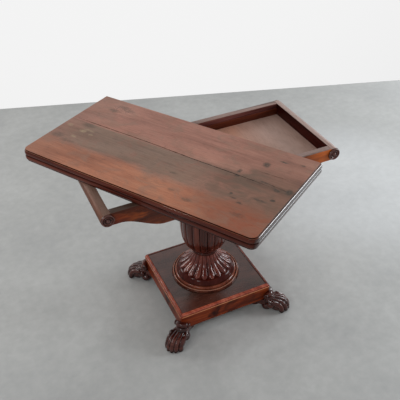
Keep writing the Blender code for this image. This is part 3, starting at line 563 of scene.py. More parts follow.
def leaf_wood(name, faded, seed):
    """Mahogany of one leaf: its faces, and the glossier moulded edge, darkened by painted shade
    and dirt.
    """
    p = Paint(bpy.data.materials.new(name))
    space = p.space(-SWIVEL, tuple(LEAF_MIDDLE))
    x, y, z = p.split(space)
    shifted = p.vector("ADD", space, (seed, 0.31 * seed, 0.0))
    bent = p.wavy(shifted, (1.1, 5, 5), (0.0, 0.03, 0.0))
    broad = p.noise(bent, (2.4, 15, 15), 5.0, 0.6, 0.3)
    fine = p.noise(bent, (6, 190, 190), 4.0, 0.62)
    pores = p.noise(bent, (38, 1000, 1000), 2.0, 0.5)
    tone = p.scale_add(fine, 0.46, p.math("SUBTRACT", broad, 0.23))
    face = fresh = p.tones(tone, TONE_PLACES, FRESH)
    rise = p.times(p.math("ABSOLUTE", z), 1 / LEAF_THICK)
    # Painted shade and dirt on the edge, in the groove at the fold and in the quirk
    shade_and_dirt = p.ramp(rise, [(place, (value, value, value, 1.0)) for place, value in EDGE_SHADE_AND_DIRT])
    edge = p.over(fresh, (20, 8, 7), shade_and_dirt)
    # The right end's edge is painted darker as painted shade, and keeps most of its polish
    end = p.times(p.span(x, 0.4440, 0.4505), p.span(y, -0.2225, -0.2060))
    edge = p.over(edge, (34, 11, 13), end, 0.75)
    flat = p.span(p.math("ABSOLUTE", p.split(p.normal)[2]), 0.80, 0.985)
    smear = p.noise(shifted, (7, 13, 13), 4.0, 0.6, 0.6)
    dull = p.span(smear, 0.3, 0.7, 0.28, 0.44)
    polish = p.span(smear, 0.3, 0.7, 0.07, 0.12)
    gloss = p.scale_add(p.math("SUBTRACT", dull, polish), flat, polish)
    if faded:
        face, band = faded_face(p, space, shifted, tone)
        gloss = p.math("ADD", gloss, p.times(band, 0.10))
        # Steep faces within the outline are the walls of the splits
        walls = p.times(p.span(p.math("ABSOLUTE", y), 0.185, 0.195, 1.0, 0.0),
                        p.span(p.math("ABSOLUTE", x), 0.436, 0.440, 1.0, 0.0))
        edge = p.over(edge, (18, 9, 7), walls)
        # The playing side never faded
        face = p.mix(p.span(rise, 0.3, 0.6), fresh, face)
    colour = p.mix(flat, edge, face)
    colour = p.over(colour, (52, 26, 18), p.span(pores, 0.55, 0.72, 0.0, 0.40))
    height = p.scale_add(pores, -0.6, p.times(fine, 0.6))
    height = p.times(height, p.span(flat, 0.0, 1.0, 0.04, 1.0))
    steep = p.math("SUBTRACT", 1.0, flat)
    free_of_shade_and_dirt = p.span(p.times(shade_and_dirt, steep), 0.0, 0.7, 1.0, 0.12)
    lustre = p.times(end, steep)
    shine = p.math("MAXIMUM", p.span(flat, 0.0, 1.0, 0.08, 0.26), p.times(lustre, 0.6))
    lacquer = p.math("MAXIMUM", p.span(flat, 0.0, 1.0, 0.30, 0.05), lustre)
    return p.finish(colour, gloss, height, 0.00015, specular_ior_level=p.times(free_of_shade_and_dirt, shine),
                    coat_weight=p.times(free_of_shade_and_dirt, lacquer), coat_roughness=0.05)


def metal(name, base, tarnish, rough):
    p = Paint(bpy.data.materials.new(name))
    cloud = p.noise(p.place, (70, 70, 70), 5.0, 0.65, 0.5)
    scratch = p.noise(p.place, (900, 260, 900), 2.0)
    colour = p.mix(p.span(cloud, 0.42, 0.68), base, tarnish)
    return p.finish(colour, p.span(cloud, 0.3, 0.7, *rough), scratch, 0.00004, metallic=1.0)


def felt(name):
    p = Paint(bpy.data.materials.new(name))
    space = p.space(-SWIVEL, tuple(LEAF_MIDDLE))
    fuzz = p.noise(space, (1500, 1500, 1500), 3.0, 0.7)
    wear_and_highlight = p.noise(space, (5, 7, 7), 4.0, 0.6, 0.4)
    nap = p.noise(space, (60, 240, 60))
    colour = p.tones(wear_and_highlight, (0.3, 0.52, 0.72), ((28, 66, 44), (38, 84, 56), (66, 104, 72)))
    colour = p.over(colour, (24, 58, 40), p.span(nap, 0.4, 0.7, 0.0, 0.35))
    height = p.math("ADD", fuzz, p.times(nap, 0.5))
    return p.finish(colour, p.span(wear_and_highlight, 0.3, 0.7, 0.98, 0.86), height, 0.0003,
                    sheen_weight=0.25, sheen_roughness=0.5)


UP = (0.0, QUARTER)
HOLLOW_SHADE_AND_DIRT = (32, 10, 8)
VENEER = dict(tone="veneer", figure=1.6, figure_tone=(160, 76, 30), patch=(112, 34, 16),
              coat=0.35, rough=(0.24, 0.38))
INNER = dict(coat=0.0, shine=0.06)
RAIL = dict(tone="rail", turn=QUARTER, coat=0.0, shine=0.12, rough=(0.36, 0.5))
FASCIA = dict(tone="fascia", coat=0.1, shine=0.10, figure=1.2, figure_tone=(44, 14, 8))
MOULDING = dict(coat=0.2, rough=(0.22, 0.34), spread=(7, 40), hollow_shade_and_dirt=HOLLOW_SHADE_AND_DIRT)
SHADED_MOULDING = dict(MOULDING, tone="shaded_moulding", painted_highlight=(150, 92, 68))
DEAL = dict(tone="deal", coat=0.0, rough=(0.55, 0.7))
MOULDING_TILT = 0.9

MATERIALS = {
    "upper": leaf_wood("upper_leaf_mahogany", True, 0.0),
    "lower": leaf_wood("lower_leaf_mahogany", False, 1.7),
    # Painted light: an orange glow on the front apron's right end, where light grazes it
    "apron_front": wood("apron_front_veneer", **VENEER, painted_light=(0.33, 0.45, (196, 98, 34))),
    "apron_back": wood("apron_back_veneer", **VENEER, seed=1.3),
    # Apron tops: a dark tone as painted shade, with painted light towards the right end
    "apron_top": wood("apron_edge_mahogany", "edge", coat=0.0, seed=0.5,
                      painted_light=(-0.12, 0.28, (150, 123, 114))),
    "inner_x": wood("inner_long_mahogany", "inner_long", **INNER, seed=0.2),
    # The rails' inner faces: a very dark tone as painted shade
    "inner_y": wood("inner_cross_mahogany", "inner", **INNER, turn=QUARTER, seed=0.9),
    "lining": wood("lining_mahogany", "lining", coat=0.2, seed=0.6),
    # Painted light on the rails' tops, paler on the right rail
    "rail_left": wood("rail_left_mahogany", **RAIL, painted_top_light=(118, 93, 81)),
    "rail_right": wood("rail_right_mahogany", **RAIL, seed=0.7, painted_top_light=(178, 154, 145)),
    "board": wood("board_mahogany", "rail", turn=QUARTER, coat=0.1, rough=(0.4, 0.55), seed=0.4),
    "roundel": wood("roundel_mahogany", "roundel", coat=1.0, shine=0.4, rough=(0.16, 0.26),
                    hollow_shade_and_dirt=HOLLOW_SHADE_AND_DIRT),
    "column": wood("column_mahogany", "carved", tilt=UP, coat=0.9, rough=(0.12, 0.20),
                   hollow_shade_and_dirt=HOLLOW_SHADE_AND_DIRT),
    "bell": wood("bell_mahogany", "bell", tilt=UP, coat=1.0, rough=(0.10, 0.16),
                 hollow_shade_and_dirt=(56, 13, 8), grain=0.3),
    "turned": wood("turned_mahogany", "turned", tilt=UP, coat=0.5, rough=(0.12, 0.22),
                   hollow_shade_and_dirt=HOLLOW_SHADE_AND_DIRT, painted_highlight=(168, 116, 94)),
    "plinth_x": wood("plinth_long_mahogany", **FASCIA),
    "plinth_y": wood("plinth_cross_mahogany", **FASCIA, turn=QUARTER),
    "plinth_top": wood("plinth_top_mahogany", "plinth", turn=0.04, coat=0.1, seed=0.8,
                       spread=(9, 15), streak=0.3, patch=(54, 40, 27), shine=0.62,
                       rough=(0.16, 0.30)),
    "moulding_front": wood("moulding_front_mahogany", "moulding", turn=MOULDING_TILT, coat=0.5,
                           rough=(0.12, 0.24), shine=0.3, spread=(7, 40), hollow_shade_and_dirt=HOLLOW_SHADE_AND_DIRT,
                           painted_highlight=(206, 140, 96)),
    # The left, back and right bars use shaded copies of the front bar's tone, as painted shade
    "moulding_left": wood("moulding_left_mahogany", "half_shaded_moulding", **MOULDING,
                          turn=MOULDING_TILT + QUARTER, painted_highlight=(186, 124, 86)),
    "moulding_back": wood("moulding_back_mahogany", **SHADED_MOULDING, turn=MOULDING_TILT,
                          seed=0.3),
    "moulding_right": wood("moulding_right_mahogany", **SHADED_MOULDING,
                           turn=MOULDING_TILT + QUARTER),
    "paw": wood("paw_mahogany", "paw", turn=0.6, coat=1.15, rough=(0.13, 0.21),
                hollow_shade_and_dirt=(16, 5, 4)),
    # Painted light on the well floor, paler towards the left end
    "well": wood("well_mahogany", "well", turn=QUARTER, patch=(184, 136, 114), coat=0.1,
                 rough=(0.36, 0.5), spread=(4, 9), streak=0.22,
                 painted_light=(0.40, 0.14, (204, 148, 124))),
    "deal": wood("plain_deal", **DEAL, turn=QUARTER),
    "deal_up": wood("dowel_deal", **DEAL, tilt=UP),
    "brass": metal("aged_brass", (0.50, 0.33, 0.12, 1.0), (0.22, 0.13, 0.06, 1.0), (0.25, 0.5)),
    "iron": metal("dark_iron", (0.13, 0.12, 0.115, 1.0), (0.10, 0.055, 0.035, 1.0), (0.4, 0.65)),
    "baize": felt("green_baize"),
}


# Leaves

BAIZE_HALF = LEAF_LENGTH / 2 - BAIZE_MARGIN
BAIZE_NEAR = -LEAF_DEPTH + BAIZE_MARGIN
BAIZE_FAR = -PLATE_WIDTH - 0.010
OVERCUT = 0.001


def leaf_outline(inset, back=0.0):
    """Plan of a leaf about the middle of its hinge edge, which is set in by back alone."""
    half = LEAF_LENGTH / 2 - inset
    near = -LEAF_DEPTH + inset
    radius = max(CORNER - inset, 0.002)
    points = [(half, -GAP / 2 - back)]
    points += arc(half - radius, near + radius, radius, 0, -90, 12)
    points += arc(radius - half, near + radius, radius, -90, -180, 12)
    points.append((-half, -GAP / 2 - back))
    return points


def leaf_edge():
    """Moulded edge as inset and height above the playing face: groove, nose and quirk."""
    points = []
    for k in range(9):
        turn = QUARTER * k / 8
        points.append((1.1 * EDGE * (1 - math.sin(turn)),
                       0.30 * LEAF_THICK * (1 - math.cos(turn))))
    for k in range(13):
        turn = QUARTER * k / 12
        points.append((0.78 * EDGE * (1 - math.cos(turn)),
                       LEAF_THICK * (0.46 + 0.32 * math.sin(turn))))
    quirk = [(0.87, 0.79), (0.88, 0.955), (0.90, 0.980), (0.94, 0.995), (1.0, 1.0)]
    return points + sized(quirk, EDGE, LEAF_THICK)


def crack_shape(line, half_width, depth, seed):
    """Wedge along a line on the show face, ragged in width and thinning out at both ends."""
    top = GAP / 2 + LEAF_THICK
    above = top + 0.0006
    rings = []
    steps = 130
    xs, ys = zip(*line)
    for k in range(steps + 1):
        share = k / steps
        x = xs[0] + (xs[-1] - xs[0]) * share
        y = float(np.interp(x, xs, ys))
        ends = smoothstep(0.0, 0.10, share) * smoothstep(1.0, 0.80, share)
        rough = 0.75 + 0.6 * noise.noise((x * 60, seed, 0.0))
        half = half_width * (0.15 + 0.85 * ends) * rough
        deep = depth * (0.12 + 0.88 * ends)
        y += 0.0005 * noise.noise((x * 90, seed, 3.0)) - LEAF_DEPTH / 2
        rings.append([(x, y - half, above), (x, y + half, above),
                      (x, y + 0.2 * half, top - deep), (x, y - 0.2 * half, top - deep)])
    return from_rings(rings)


def hinge_recess(middle, side):
    barrel = BARREL + 2 * GAP
    bed = PLATE_THICK + 1.5 * GAP
    plate = -PLATE_WIDTH - GAP
    section = [(0.002, -OVERCUT), (0.002, barrel), (-barrel, barrel), (-barrel, bed), (plate, bed),
               (plate, -OVERCUT)]
    half = HINGE_HALF + GAP
    return from_rings([[(middle + end * half, y, side * z) for y, z in section]
                       for end in (-1, 1)])


def swivel_cuts():
    """Seat of the pivot flange and track of the stop peg, in the underside of the lower leaf."""
    under = -(1.5 * GAP + LEAF_THICK)
    start = under - 0.002
    spot = (-LEAF_DEPTH / 4, -LEAF_DEPTH / 4)
    seat = [circle(FLANGE_SEAT, level, 48, spot) for level in (start, under + FLANGE_DEPTH)]
    sweep = math.radians(PEG_SWEEP)
    end = (PEG_ORBIT * math.cos(sweep), PEG_ORBIT * math.sin(sweep))
    line = arc(0, 0, PEG_ORBIT + PEG_HALF, -PEG_SWEEP, PEG_SWEEP, 30)
    line += arc(*end, PEG_HALF, PEG_SWEEP, PEG_SWEEP + 180, 10)[1:-1]
    line += arc(0, 0, PEG_ORBIT - PEG_HALF, PEG_SWEEP, -PEG_SWEEP, 30)
    line += arc(end[0], -end[1], PEG_HALF, 180 - PEG_SWEEP, 360 - PEG_SWEEP, 10)[1:-1]
    track = [(x + spot[0], y + spot[1]) for x, y in line]
    return [from_rings(seat), prism(track, (start, under + PEG_DEPTH))]


def make_leaf(name, side):
    edge = [(inset, height, 0.0) for inset, height in leaf_edge()]
    # A narrow flat border on both faces keeps their shading level
    edge.insert(0, (edge[0][0] + FLAT, 0.0, FLAT))
    edge.append((EDGE + FLAT, LEAF_THICK, FLAT))
    rings = []
    for inset, height, back in edge:
        level = side * (GAP / 2 + height)
        rings.append([(x, y, level) for x, y in leaf_outline(inset, back)])
    leaf = make(name + "_leaf_board", from_rings(rings), LEAF_PLACE)
    bed = sorted((-side * OVERCUT, side * (1.5 * GAP + BAIZE_THICK)))
    cuts = [box_shape((-BAIZE_HALF, BAIZE_NEAR, bed[0]), (BAIZE_HALF, BAIZE_FAR, bed[1]))]
    cuts += [hinge_recess(middle, side) for middle in (-HINGE_X, HINGE_X)]
    cuts += [crack_shape(*crack) for crack in CRACKS] if side > 0 else swivel_cuts()
    carve(leaf, cuts, LEAF_PLACE)
    return stand_for(leaf, name + "_top", "faded_mahogany", name, name + "_leaf")


def make_baize(name, side, leaf):
    """Cloth lining laid in its bed: a thin sheet with a faint unevenness."""
    shape = bmesh.new()
    width = 2 * (BAIZE_HALF - GAP)
    length = BAIZE_FAR - BAIZE_NEAR - 2 * GAP
    columns, rows = 120, 54

    def corner(i, j, shown):
        x = width * (i / columns - 0.5)
        y = BAIZE_NEAR + GAP + length * j / rows
        wave = 0.00012 * noise.noise((x * 40, y * 40, 5.0 + side))
        height = GAP / 2 + (0.00018 + abs(wave) if shown else BAIZE_THICK)
        return shape.verts.new((x, y, side * height))

    grids = [[[corner(i, j, shown) for i in range(columns + 1)] for j in range(rows + 1)]
             for shown in (True, False)]
    for grid in grids:
        for j in range(rows):
            for i in range(columns):
                shape.faces.new((grid[j][i], grid[j][i + 1], grid[j + 1][i + 1], grid[j + 1][i]))
    rim = [(0, i) for i in range(columns)] + [(j, columns) for j in range(rows)]
    rim += [(rows, i) for i in range(columns, 0, -1)] + [(j, 0) for j in range(rows, 0, -1)]
    front, back = grids
    for (j, i), (n, m) in zip(rim, rim[1:] + rim[:1]):
        shape.faces.new((front[j][i], front[n][m], back[n][m], back[j][i]))
    bmesh.ops.recalc_face_normals(shape, faces=shape.faces)
    cloth = make(name + "_baize_cloth", shape, LEAF_PLACE, 60.0)
    stand_for(cloth, name + "_top", "green_baize", "baize", name + "_baize")


LEAVES = (("upper", 1), ("lower", -1))
boards = [make_leaf(*leaf) for leaf in LEAVES]
for leaf, made in zip(LEAVES, boards):
    make_baize(*leaf, made)


# Column

def column_piece(name, profile, level, steps, material, node, relief=None, hollow=None):
    """Turned piece; hollow gives the share of painted shade and dirt at a point at (radius, level,
    turn), mostly how deep in a groove it lies.
    """
    lifted = [(radius, height + level) for radius, height in profile]
    made = make(name, lathe(lifted, steps, relief), COLUMN_PLACE, 40.0)
    lows = []
    for vert in made.data.vertices:
        x, y, z = vert.co - AXIS
        lows.append(hollow(math.hypot(x, y), z, math.atan2(y, x)) if hollow else 0.0)
    mark(made, "hollow_shade_and_dirt", lows)
    return stand_for(made, "base", "carved_mahogany", material, node)


def lobe_place(turn):
    """Distance from a lobe's crown, 0 at the crown and 1 in the valley."""
    phase = (turn / (2 * math.pi) * LOBES) % 1.0
    return abs(2 * phase - 1)


VASE_LEVEL = 0.2505
VASE_HEIGHT = 0.2660
VASE_RADIUS = 0.0945
VASE_LOBE = 0.0046
vase_line = sized([(0.50, 0.0), (0.63, 0.04), (0.735, 0.08), (0.845, 0.135), (0.940, 0.24),
                   (0.985, 0.35), (1.0, 0.48), (0.99, 0.61), (0.945, 0.73), (0.87, 0.84),
                   (0.785, 0.92), (0.715, 0.97), (0.66, 1.0)], VASE_RADIUS, VASE_HEIGHT)


def vase_relief(share, turn, point):
    height = (point[1] - VASE_LEVEL) / VASE_HEIGHT
    depth = VASE_LOBE * smoothstep(0.0, 0.09, height) * smoothstep(1.0, 0.91, height)
    return -depth * (1 - math.sqrt(max(1 - lobe_place(turn) ** 3.6, 0.0)))


# Painted shade and dirt in the valleys between the lobes
def vase_hollow(radius, level, turn):
    return 0.95 * smoothstep(0.82, 1.0, lobe_place(turn))


column_piece("vase_turning", list(reversed(curve_through(vase_line, 7))), VASE_LEVEL, LOBES * 18,
             "column", "column_vase", vase_relief, vase_hollow)

BELL_LEVEL = 0.1396
BELL_HEIGHT = 0.0963
WAIST = 0.044
SPREAD = 0.068
TIP_START = 0.66
TIP_END = 0.80
bell_line = curve_through(sized([(0.0, 1.0), (0.045, 0.840), (0.160, 0.690), (0.330, 0.545),
                                 (0.560, 0.410), (0.760, 0.300), (0.850, 0.225), (0.925, 0.110),
                                 (1.0, 0.0)], SPREAD, BELL_HEIGHT, WAIST), 9)
bell_steps = np.linalg.norm(np.diff(np.array(bell_line), axis=0), axis=1)
bell_run = np.concatenate([[0.0], np.cumsum(bell_steps)])
bell_share = bell_run / bell_run[-1]


def gadroon(share, turn):
    """Height of a tongue-ended gadroon, 0 to 1, by the share of the way down the bell."""
    if share > TIP_END:
        return 0.0
    width = 0.96
    if share > TIP_START:
        tip = (share - TIP_START) / (TIP_END - TIP_START)
        width *= math.sqrt(max(1 - tip ** 2, 0.0))
    away = lobe_place(turn)
    if away >= width:
        return 0.0
    return math.sqrt(1 - (away / width) ** 2)


def bell_relief(share, turn, point):
    run = float(np.interp(share, np.linspace(0, 1, len(bell_share)), bell_share))
    depth = 0.0026 + 0.0046 * smoothstep(0.05, 0.60, run)
    base = smoothstep(TIP_END + 0.10, TIP_END - 0.06, run)
    return depth * (gadroon(run, turn) - base)


def bell_hollow(radius, level, turn):
    run = float(np.interp(BELL_LEVEL - level, [-height for _, height in bell_line], bell_share))
    # The plain band below the gadroons is painted dark as shade; the valleys between them get
    # painted shade and dirt
    if run > TIP_END:
        return 0.85
    return 0.95 * (1 - smoothstep(0.0, 0.46, gadroon(run, turn)))


column_piece("bell_turning", bell_line, BELL_LEVEL, LOBES * 20, "bell", "column_bell",
             bell_relief, bell_hollow)

RING_LEVEL = 0.1213
RING_RADIUS = 0.1357
RING_HEIGHT = 0.018
# Shoulder, groove and bead, each up to where the next begins, and the foot
RING_CURVES = (
    ([(0.825, 1.0), (0.866, 0.93), (0.894, 0.72), (0.905, 0.44)], 6),
    ([(0.906, 0.42), (0.910, 0.33), (0.924, 0.31), (0.930, 0.36)], 4),
    ([(0.931, 0.38), (0.938, 0.50), (0.952, 0.51), (0.961, 0.38)], 5),
)
RING_FOOT = [(0.962, 0.33), (0.972, 0.25), (0.990, 0.21), (1.0, 0.12), (0.985, 0.03), (0.975, 0.0)]
ring_line = []
for points, steps in RING_CURVES:
    ring_line += curve_through(sized(points, RING_RADIUS, RING_HEIGHT), steps)[:-1]
ring_line += curve_through(sized(RING_FOOT, RING_RADIUS, RING_HEIGHT), 5)


def ring_hollow(radius, level, turn):
    # Painted shade and dirt in the groove, on the foot and on the hollow under the bell
    place = radius / RING_RADIUS
    groove = smoothstep(0.904, 0.910, place) * smoothstep(0.932, 0.926, place)
    foot = smoothstep(0.958, 0.966, place)
    inside = smoothstep(0.872, 0.850, place)
    return max(0.9 * groove, 0.75 * foot, 0.8 * inside)


base_ring = column_piece("base_ring_turning", ring_line, RING_LEVEL, 160, "turned",
                         "column_base_ring", hollow=ring_hollow)
# Painted highlight along the ring's bead
bead_highlight = []
for vert in base_ring.data.vertices:
    place = math.hypot(vert.co.x - AXIS.x, vert.co.y - AXIS.y) / RING_RADIUS
    bead_highlight.append(smoothstep(0.930, 0.938, place) * smoothstep(0.962, 0.954, place))
mark(base_ring, "painted_highlight", bead_highlight)

COLLAR_LEVEL = 0.2362
COLLAR_RADIUS = 0.0515
collar_line = sized([(0.905, 0.0140), (0.972, 0.0112), (1.0, 0.0066), (0.972, 0.0022),
                     (0.885, 0.0)], COLLAR_RADIUS, 1.0)
# The whole collar is painted dark as shade
column_piece("collar_turning", curve_through(collar_line, 8), COLLAR_LEVEL, 144, "column",
             "column_collar", hollow=lambda radius, level, turn: 0.6)

CAP_LEVEL = 0.5168
CAP_HEIGHT = 0.0762
NECK = 0.066
cap_line = [(0.0965, CAP_HEIGHT), (0.0990, CAP_HEIGHT - 0.0008)]
cap_line += curve_through([(0.0998, CAP_HEIGHT - 0.003), (0.1000, CAP_HEIGHT - 0.0075),
                           (0.0993, CAP_HEIGHT - 0.012), (0.0965, CAP_HEIGHT - 0.015)], 5)
cap_line += curve_through([(0.0935, CAP_HEIGHT - 0.0165)] + sized(
    [(0.017, 0.70), (0.006, 0.56), (0.0, 0.40), (0.0, 0.24)], 1.0, CAP_HEIGHT, NECK), 8)
cap_line += curve_through(sized([(0.004, 0.215), (0.0095, 0.18), (0.012, 0.11), (0.0095, 0.035),
                                 (0.004, 0.0)], 1.0, CAP_HEIGHT, NECK), 6)
column_piece("cap_turning", cap_line, CAP_LEVEL, 160, "column", "column_cap")


# Frieze

APRON_ARRIS = 0.0009
RAIL_ARRIS = 0.0007


def rounded(name, shape, place, arris):
    """Piece of joinery with its arrises taken off."""
    return settle(soften(make(name, shape, place), arris))


def apron_line(half):
    """Front view: straight top, deep middle, swept up to shallow ends."""
    shallow = 2 * ROLL_RADIUS
    start, run = APRON_SWEEP
    lower = [(-half, -shallow)]
    for k in range(41):
        share = k / 40
        drop = (APRON_HEIGHT - shallow) * smoothstep(0, 1, share)
        lower.append((-start + run * share, -shallow - drop))
    mirrored = [(-x, z) for x, z in reversed(lower)]
    return [(half, 0.0), (-half, 0.0)] + lower + mirrored


def face_paint(obj, material, way):
    """Gives the faces that look one way another material."""
    obj.data.materials.append(MATERIALS[material])
    index = len(obj.data.materials) - 1
    for face in obj.data.polygons:
        if face.normal.dot(Vector(way)) > 0.8:
            face.material_index = index


for name, side in (("front", -1), ("back", 1)):
    line = apron_line(RAIL_INSIDE - GAP)
    rings = [[(x, y, z) for x, z in line]
             for y in (side * APRON_FACE, side * (APRON_FACE - APRON_THICK))]
    apron = rounded(name + "_apron_board", from_rings(rings), FRIEZE_PLACE, APRON_ARRIS)
    stand_for(apron, "base", "flame_mahogany", "apron_" + name, name + "_apron")
    face_paint(apron, "apron_top", (0.0, 0.0, 1.0))
    face_paint(apron, "inner_x", (0.0, -side, 0.0))
    # Lining strip inside the well, along the foot of the apron
    inside = APRON_FACE - APRON_THICK - GAP
    strip = box_shape((WELL_LEFT, inside - LINING_THICK, WELL_FLOOR + GAP),
                      (RAIL_INSIDE - GAP, inside, WELL_FLOOR + LINING_TALL))
    bmesh.ops.scale(strip, vec=(1.0, side, 1.0), verts=strip.verts)
    bmesh.ops.recalc_face_normals(strip, faces=strip.faces)
    lining = rounded("well_lining_" + name, strip, COLUMN_PLACE, RAIL_ARRIS)
    stand_for(lining, "base", "well_mahogany", "lining")

for name, side in (("left", -1), ("right", 1)):
    section = [(RAIL_INSIDE, -2 * ROLL_RADIUS)]
    section += arc(ROLL_CENTRE, -ROLL_RADIUS, ROLL_RADIUS, -90, 90, 40)
    section.append((RAIL_INSIDE, 0.0))
    rings = [[(side * x, y, z) for x, z in section] for y in (-APRON_FACE, APRON_FACE)]
    rail = rounded(name + "_rail_roll", from_rings(rings), FRIEZE_PLACE, RAIL_ARRIS)
    stand_for(rail, "base", "rail_mahogany", "rail_" + name, name + "_end_rail")
    face_paint(rail, "inner_y", (-side, 0.0, 0.0))

ROUNDEL_RISE = 0.0075
ROUNDEL_RADIUS = ROLL_RADIUS - 2 * GAP
# Boss, inner ring and outer ring
ROUNDEL_CURVES = (
    ([(0.004, 1.0), (0.16, 0.96), (0.27, 0.76), (0.335, 0.36)], 5),
    ([(0.36, 0.30), (0.44, 0.28), (0.50, 0.38), (0.56, 0.64), (0.615, 0.66), (0.665, 0.36)], 4),
    ([(0.70, 0.30), (0.745, 0.34), (0.79, 0.66), (0.85, 0.78), (0.92, 0.72), (0.98, 0.46),
      (1.0, 0.30), (1.0, 0.0)], 4),
)
roundel_line = []
for points, steps in ROUNDEL_CURVES:
    roundel_line += curve_through(sized(points, ROUNDEL_RADIUS, ROUNDEL_RISE), steps)


def make_roundel(name, depth_side, end_side):
    rings = [circle(radius, height, 72) for radius, height in roundel_line]
    place = Matrix.Translation((end_side * ROLL_CENTRE, depth_side * (APRON_FACE + GAP),
                                -ROLL_RADIUS))
    place = FRIEZE_PLACE @ place @ Matrix.Rotation(-depth_side * QUARTER, 4, "X")
    made = make(name + "_turning", from_rings(rings), place, 50.0)
    # Painted shade and dirt in the low rings of the face
    heights = [(place.inverted() @ vert.co).z for vert in made.data.vertices]
    mark(made, "hollow_shade_and_dirt", [0.85 * smoothstep(0.42 * ROUNDEL_RISE, 0.30 * ROUNDEL_RISE, height)
                          for height in heights])
    stand_for(made, "base", "flame_mahogany", "roundel", name)


for depth_name, depth_side in (("front", -1), ("back", 1)):
    for end_name, end_side in (("left", -1), ("right", 1)):
        make_roundel("roundel_" + depth_name + "_" + end_name, depth_side, end_side)


# Plinth

MOULDING_TURN = 0.010
# Levels of the quirk's ends below the top
QUIRK = (0.0066, 0.0089)


def mitred(section, turn):
    """Bar of the frame, rounded in plan where it turns the corner and mitred there."""
    pivot = PLINTH_HALF - MOULDING_TURN
    rings = []
    for end in (-1, 1):
        stations = []
        for k in range(7):
            angle = math.radians(45.0 * k / 6)
            ring = []
            for out, level in section:
                radius = max(out - pivot, 0.0)
                along = min(out, pivot) + radius * math.sin(angle)
                across = -min(out, pivot) - radius * math.cos(angle)
                ring.append((end * (along - 0.75 * GAP), across, level))
            stations.append(ring)
        rings += reversed(stations) if end < 0 else stations
    shape = from_rings(rings)
    bmesh.ops.remove_doubles(shape, verts=shape.verts, dist=0.000002)
    bmesh.ops.rotate(shape, verts=shape.verts, cent=(0, 0, 0),
                     matrix=Matrix.Rotation(math.radians(turn), 3, "Z"))
    return shape


def moulding_line():
    """Section as distance out and height: flat, ovolo, quirk and bead."""
    inner = PLINTH_HALF - MOULDING_WIDTH
    under = PLINTH_TOP - MOULDING_TALL

    def from_corner(points):
        return [(PLINTH_HALF - back, PLINTH_TOP - down) for back, down in points]

    line = [(inner, under), (inner, PLINTH_TOP - 0.0022), (inner + 0.0007, PLINTH_TOP - 0.0012),
            (inner + 0.0018, PLINTH_TOP)]
    line += from_corner([(0.0095, 0.0)])
    line += curve_through(from_corner([(0.0085, 0.0001), (0.0058, 0.0011), (0.0034, 0.0034),
                                       (0.0022, 0.0062)]), 5)
    line += from_corner([(0.0036, 0.0070), (0.0044, 0.0073), (0.0044, 0.0085), (0.0034, 0.0088)])
    line += curve_through(from_corner([(0.0018, 0.0090), (0.0004, 0.0098), (0.0, 0.0108),
                                       (0.0004, 0.0118), (0.0016, 0.0126)]), 4)
    line += from_corner([(0.0030, 0.0128), (0.0030, MOULDING_TALL)])
    return line


for name, turn in (("front", 0.0), ("right", 90.0), ("back", 180.0), ("left", 270.0)):
    bar = make("moulding_" + name + "_bar", mitred(moulding_line(), turn), COLUMN_PLACE, 28.0)
    # Painted shade and dirt in the quirk and along the seam with the top board, and a painted
    # highlight on the bead's outer arris
    low, wear_and_highlight = [], []
    for vert in bar.data.vertices:
        back = PLINTH_HALF - max(abs(vert.co.x - AXIS.x), abs(vert.co.y - AXIS.y))
        down = PLINTH_TOP - vert.co.z
        in_quirk = QUIRK[0] < down < QUIRK[1] and back > 0.0030
        low.append(1.0 if in_quirk or back > 0.0142 else 0.0)
        wear_and_highlight.append(1.0 if down > QUIRK[1] + 0.0004 and back < 0.0012 else 0.0)
    mark(bar, "hollow_shade_and_dirt", low)
    mark(bar, "painted_highlight", wear_and_highlight)
    stand_for(bar, "base", "moulding_mahogany", "moulding_" + name, "plinth_moulding_" + name)


# Paw feet, in a frame at the plinth's corner with X outwards and the floor at 0

# Side along X and Y, and sideways lean for each metre out from the heel
PAWS = {"front_left": (-1, -1, 0.19), "front_right": (1, -1, 0.19), "back_right": (1, 1, 0.15),
        "back_left": (-1, 1, 0.09)}
PAW_HEEL = 0.0065
# Tip of each toe in the paw's own frame, from the middle toe outwards: out, across, thickness
TOE_TIPS = ((0.0750, 0.0, 1.0), (0.0716, 0.0142, 1.0), (0.0600, 0.0266, 1.06))
# Share of the way, height and radius along a toe
TOE_LINE = ((0.0, 0.0545, 0.0086), (0.27, 0.0508, 0.0092), (0.54, 0.0472, 0.0098),
            (0.78, 0.0412, 0.0102), (0.91, 0.0330, 0.0100), (0.99, 0.0215, 0.0100),
            (1.0, 0.0112, 0.0098))
# Roll across the top of the wrist: out, across, up and radius, from one end to the middle
SCROLL = ((-0.0048, 0.0190, 0.0752, 0.0092), (0.0018, 0.0110, 0.0768, 0.0122),
          (0.0040, 0.0, 0.0774, 0.0132))
VOLUTE = (-0.0052, 0.0268, 0.0752)
VOLUTE_RADIUS = 0.0070
VOLUTE_BEADS = 26
SHANK_BACK = -0.058
SHANK_RADIUS = 0.0280
DOWEL_HOLE = 0.0083
DOWEL_BOTTOM = 0.0208
GROOVE_REACH = 0.00012


def ball(shape, centre, radii, fine=3):
    place = Matrix.LocRotScale(Vector(centre), None, Vector(radii))
    bmesh.ops.create_icosphere(shape, subdivisions=fine, radius=1.0, matrix=place)


def string_of_balls(shape, points, steps):
    """Tapering limb through points given as x, y, z and radius."""
    for x, y, z, radius in curve_through(points, steps):
        ball(shape, (x, y, z), (radius, radius, radius), 2)


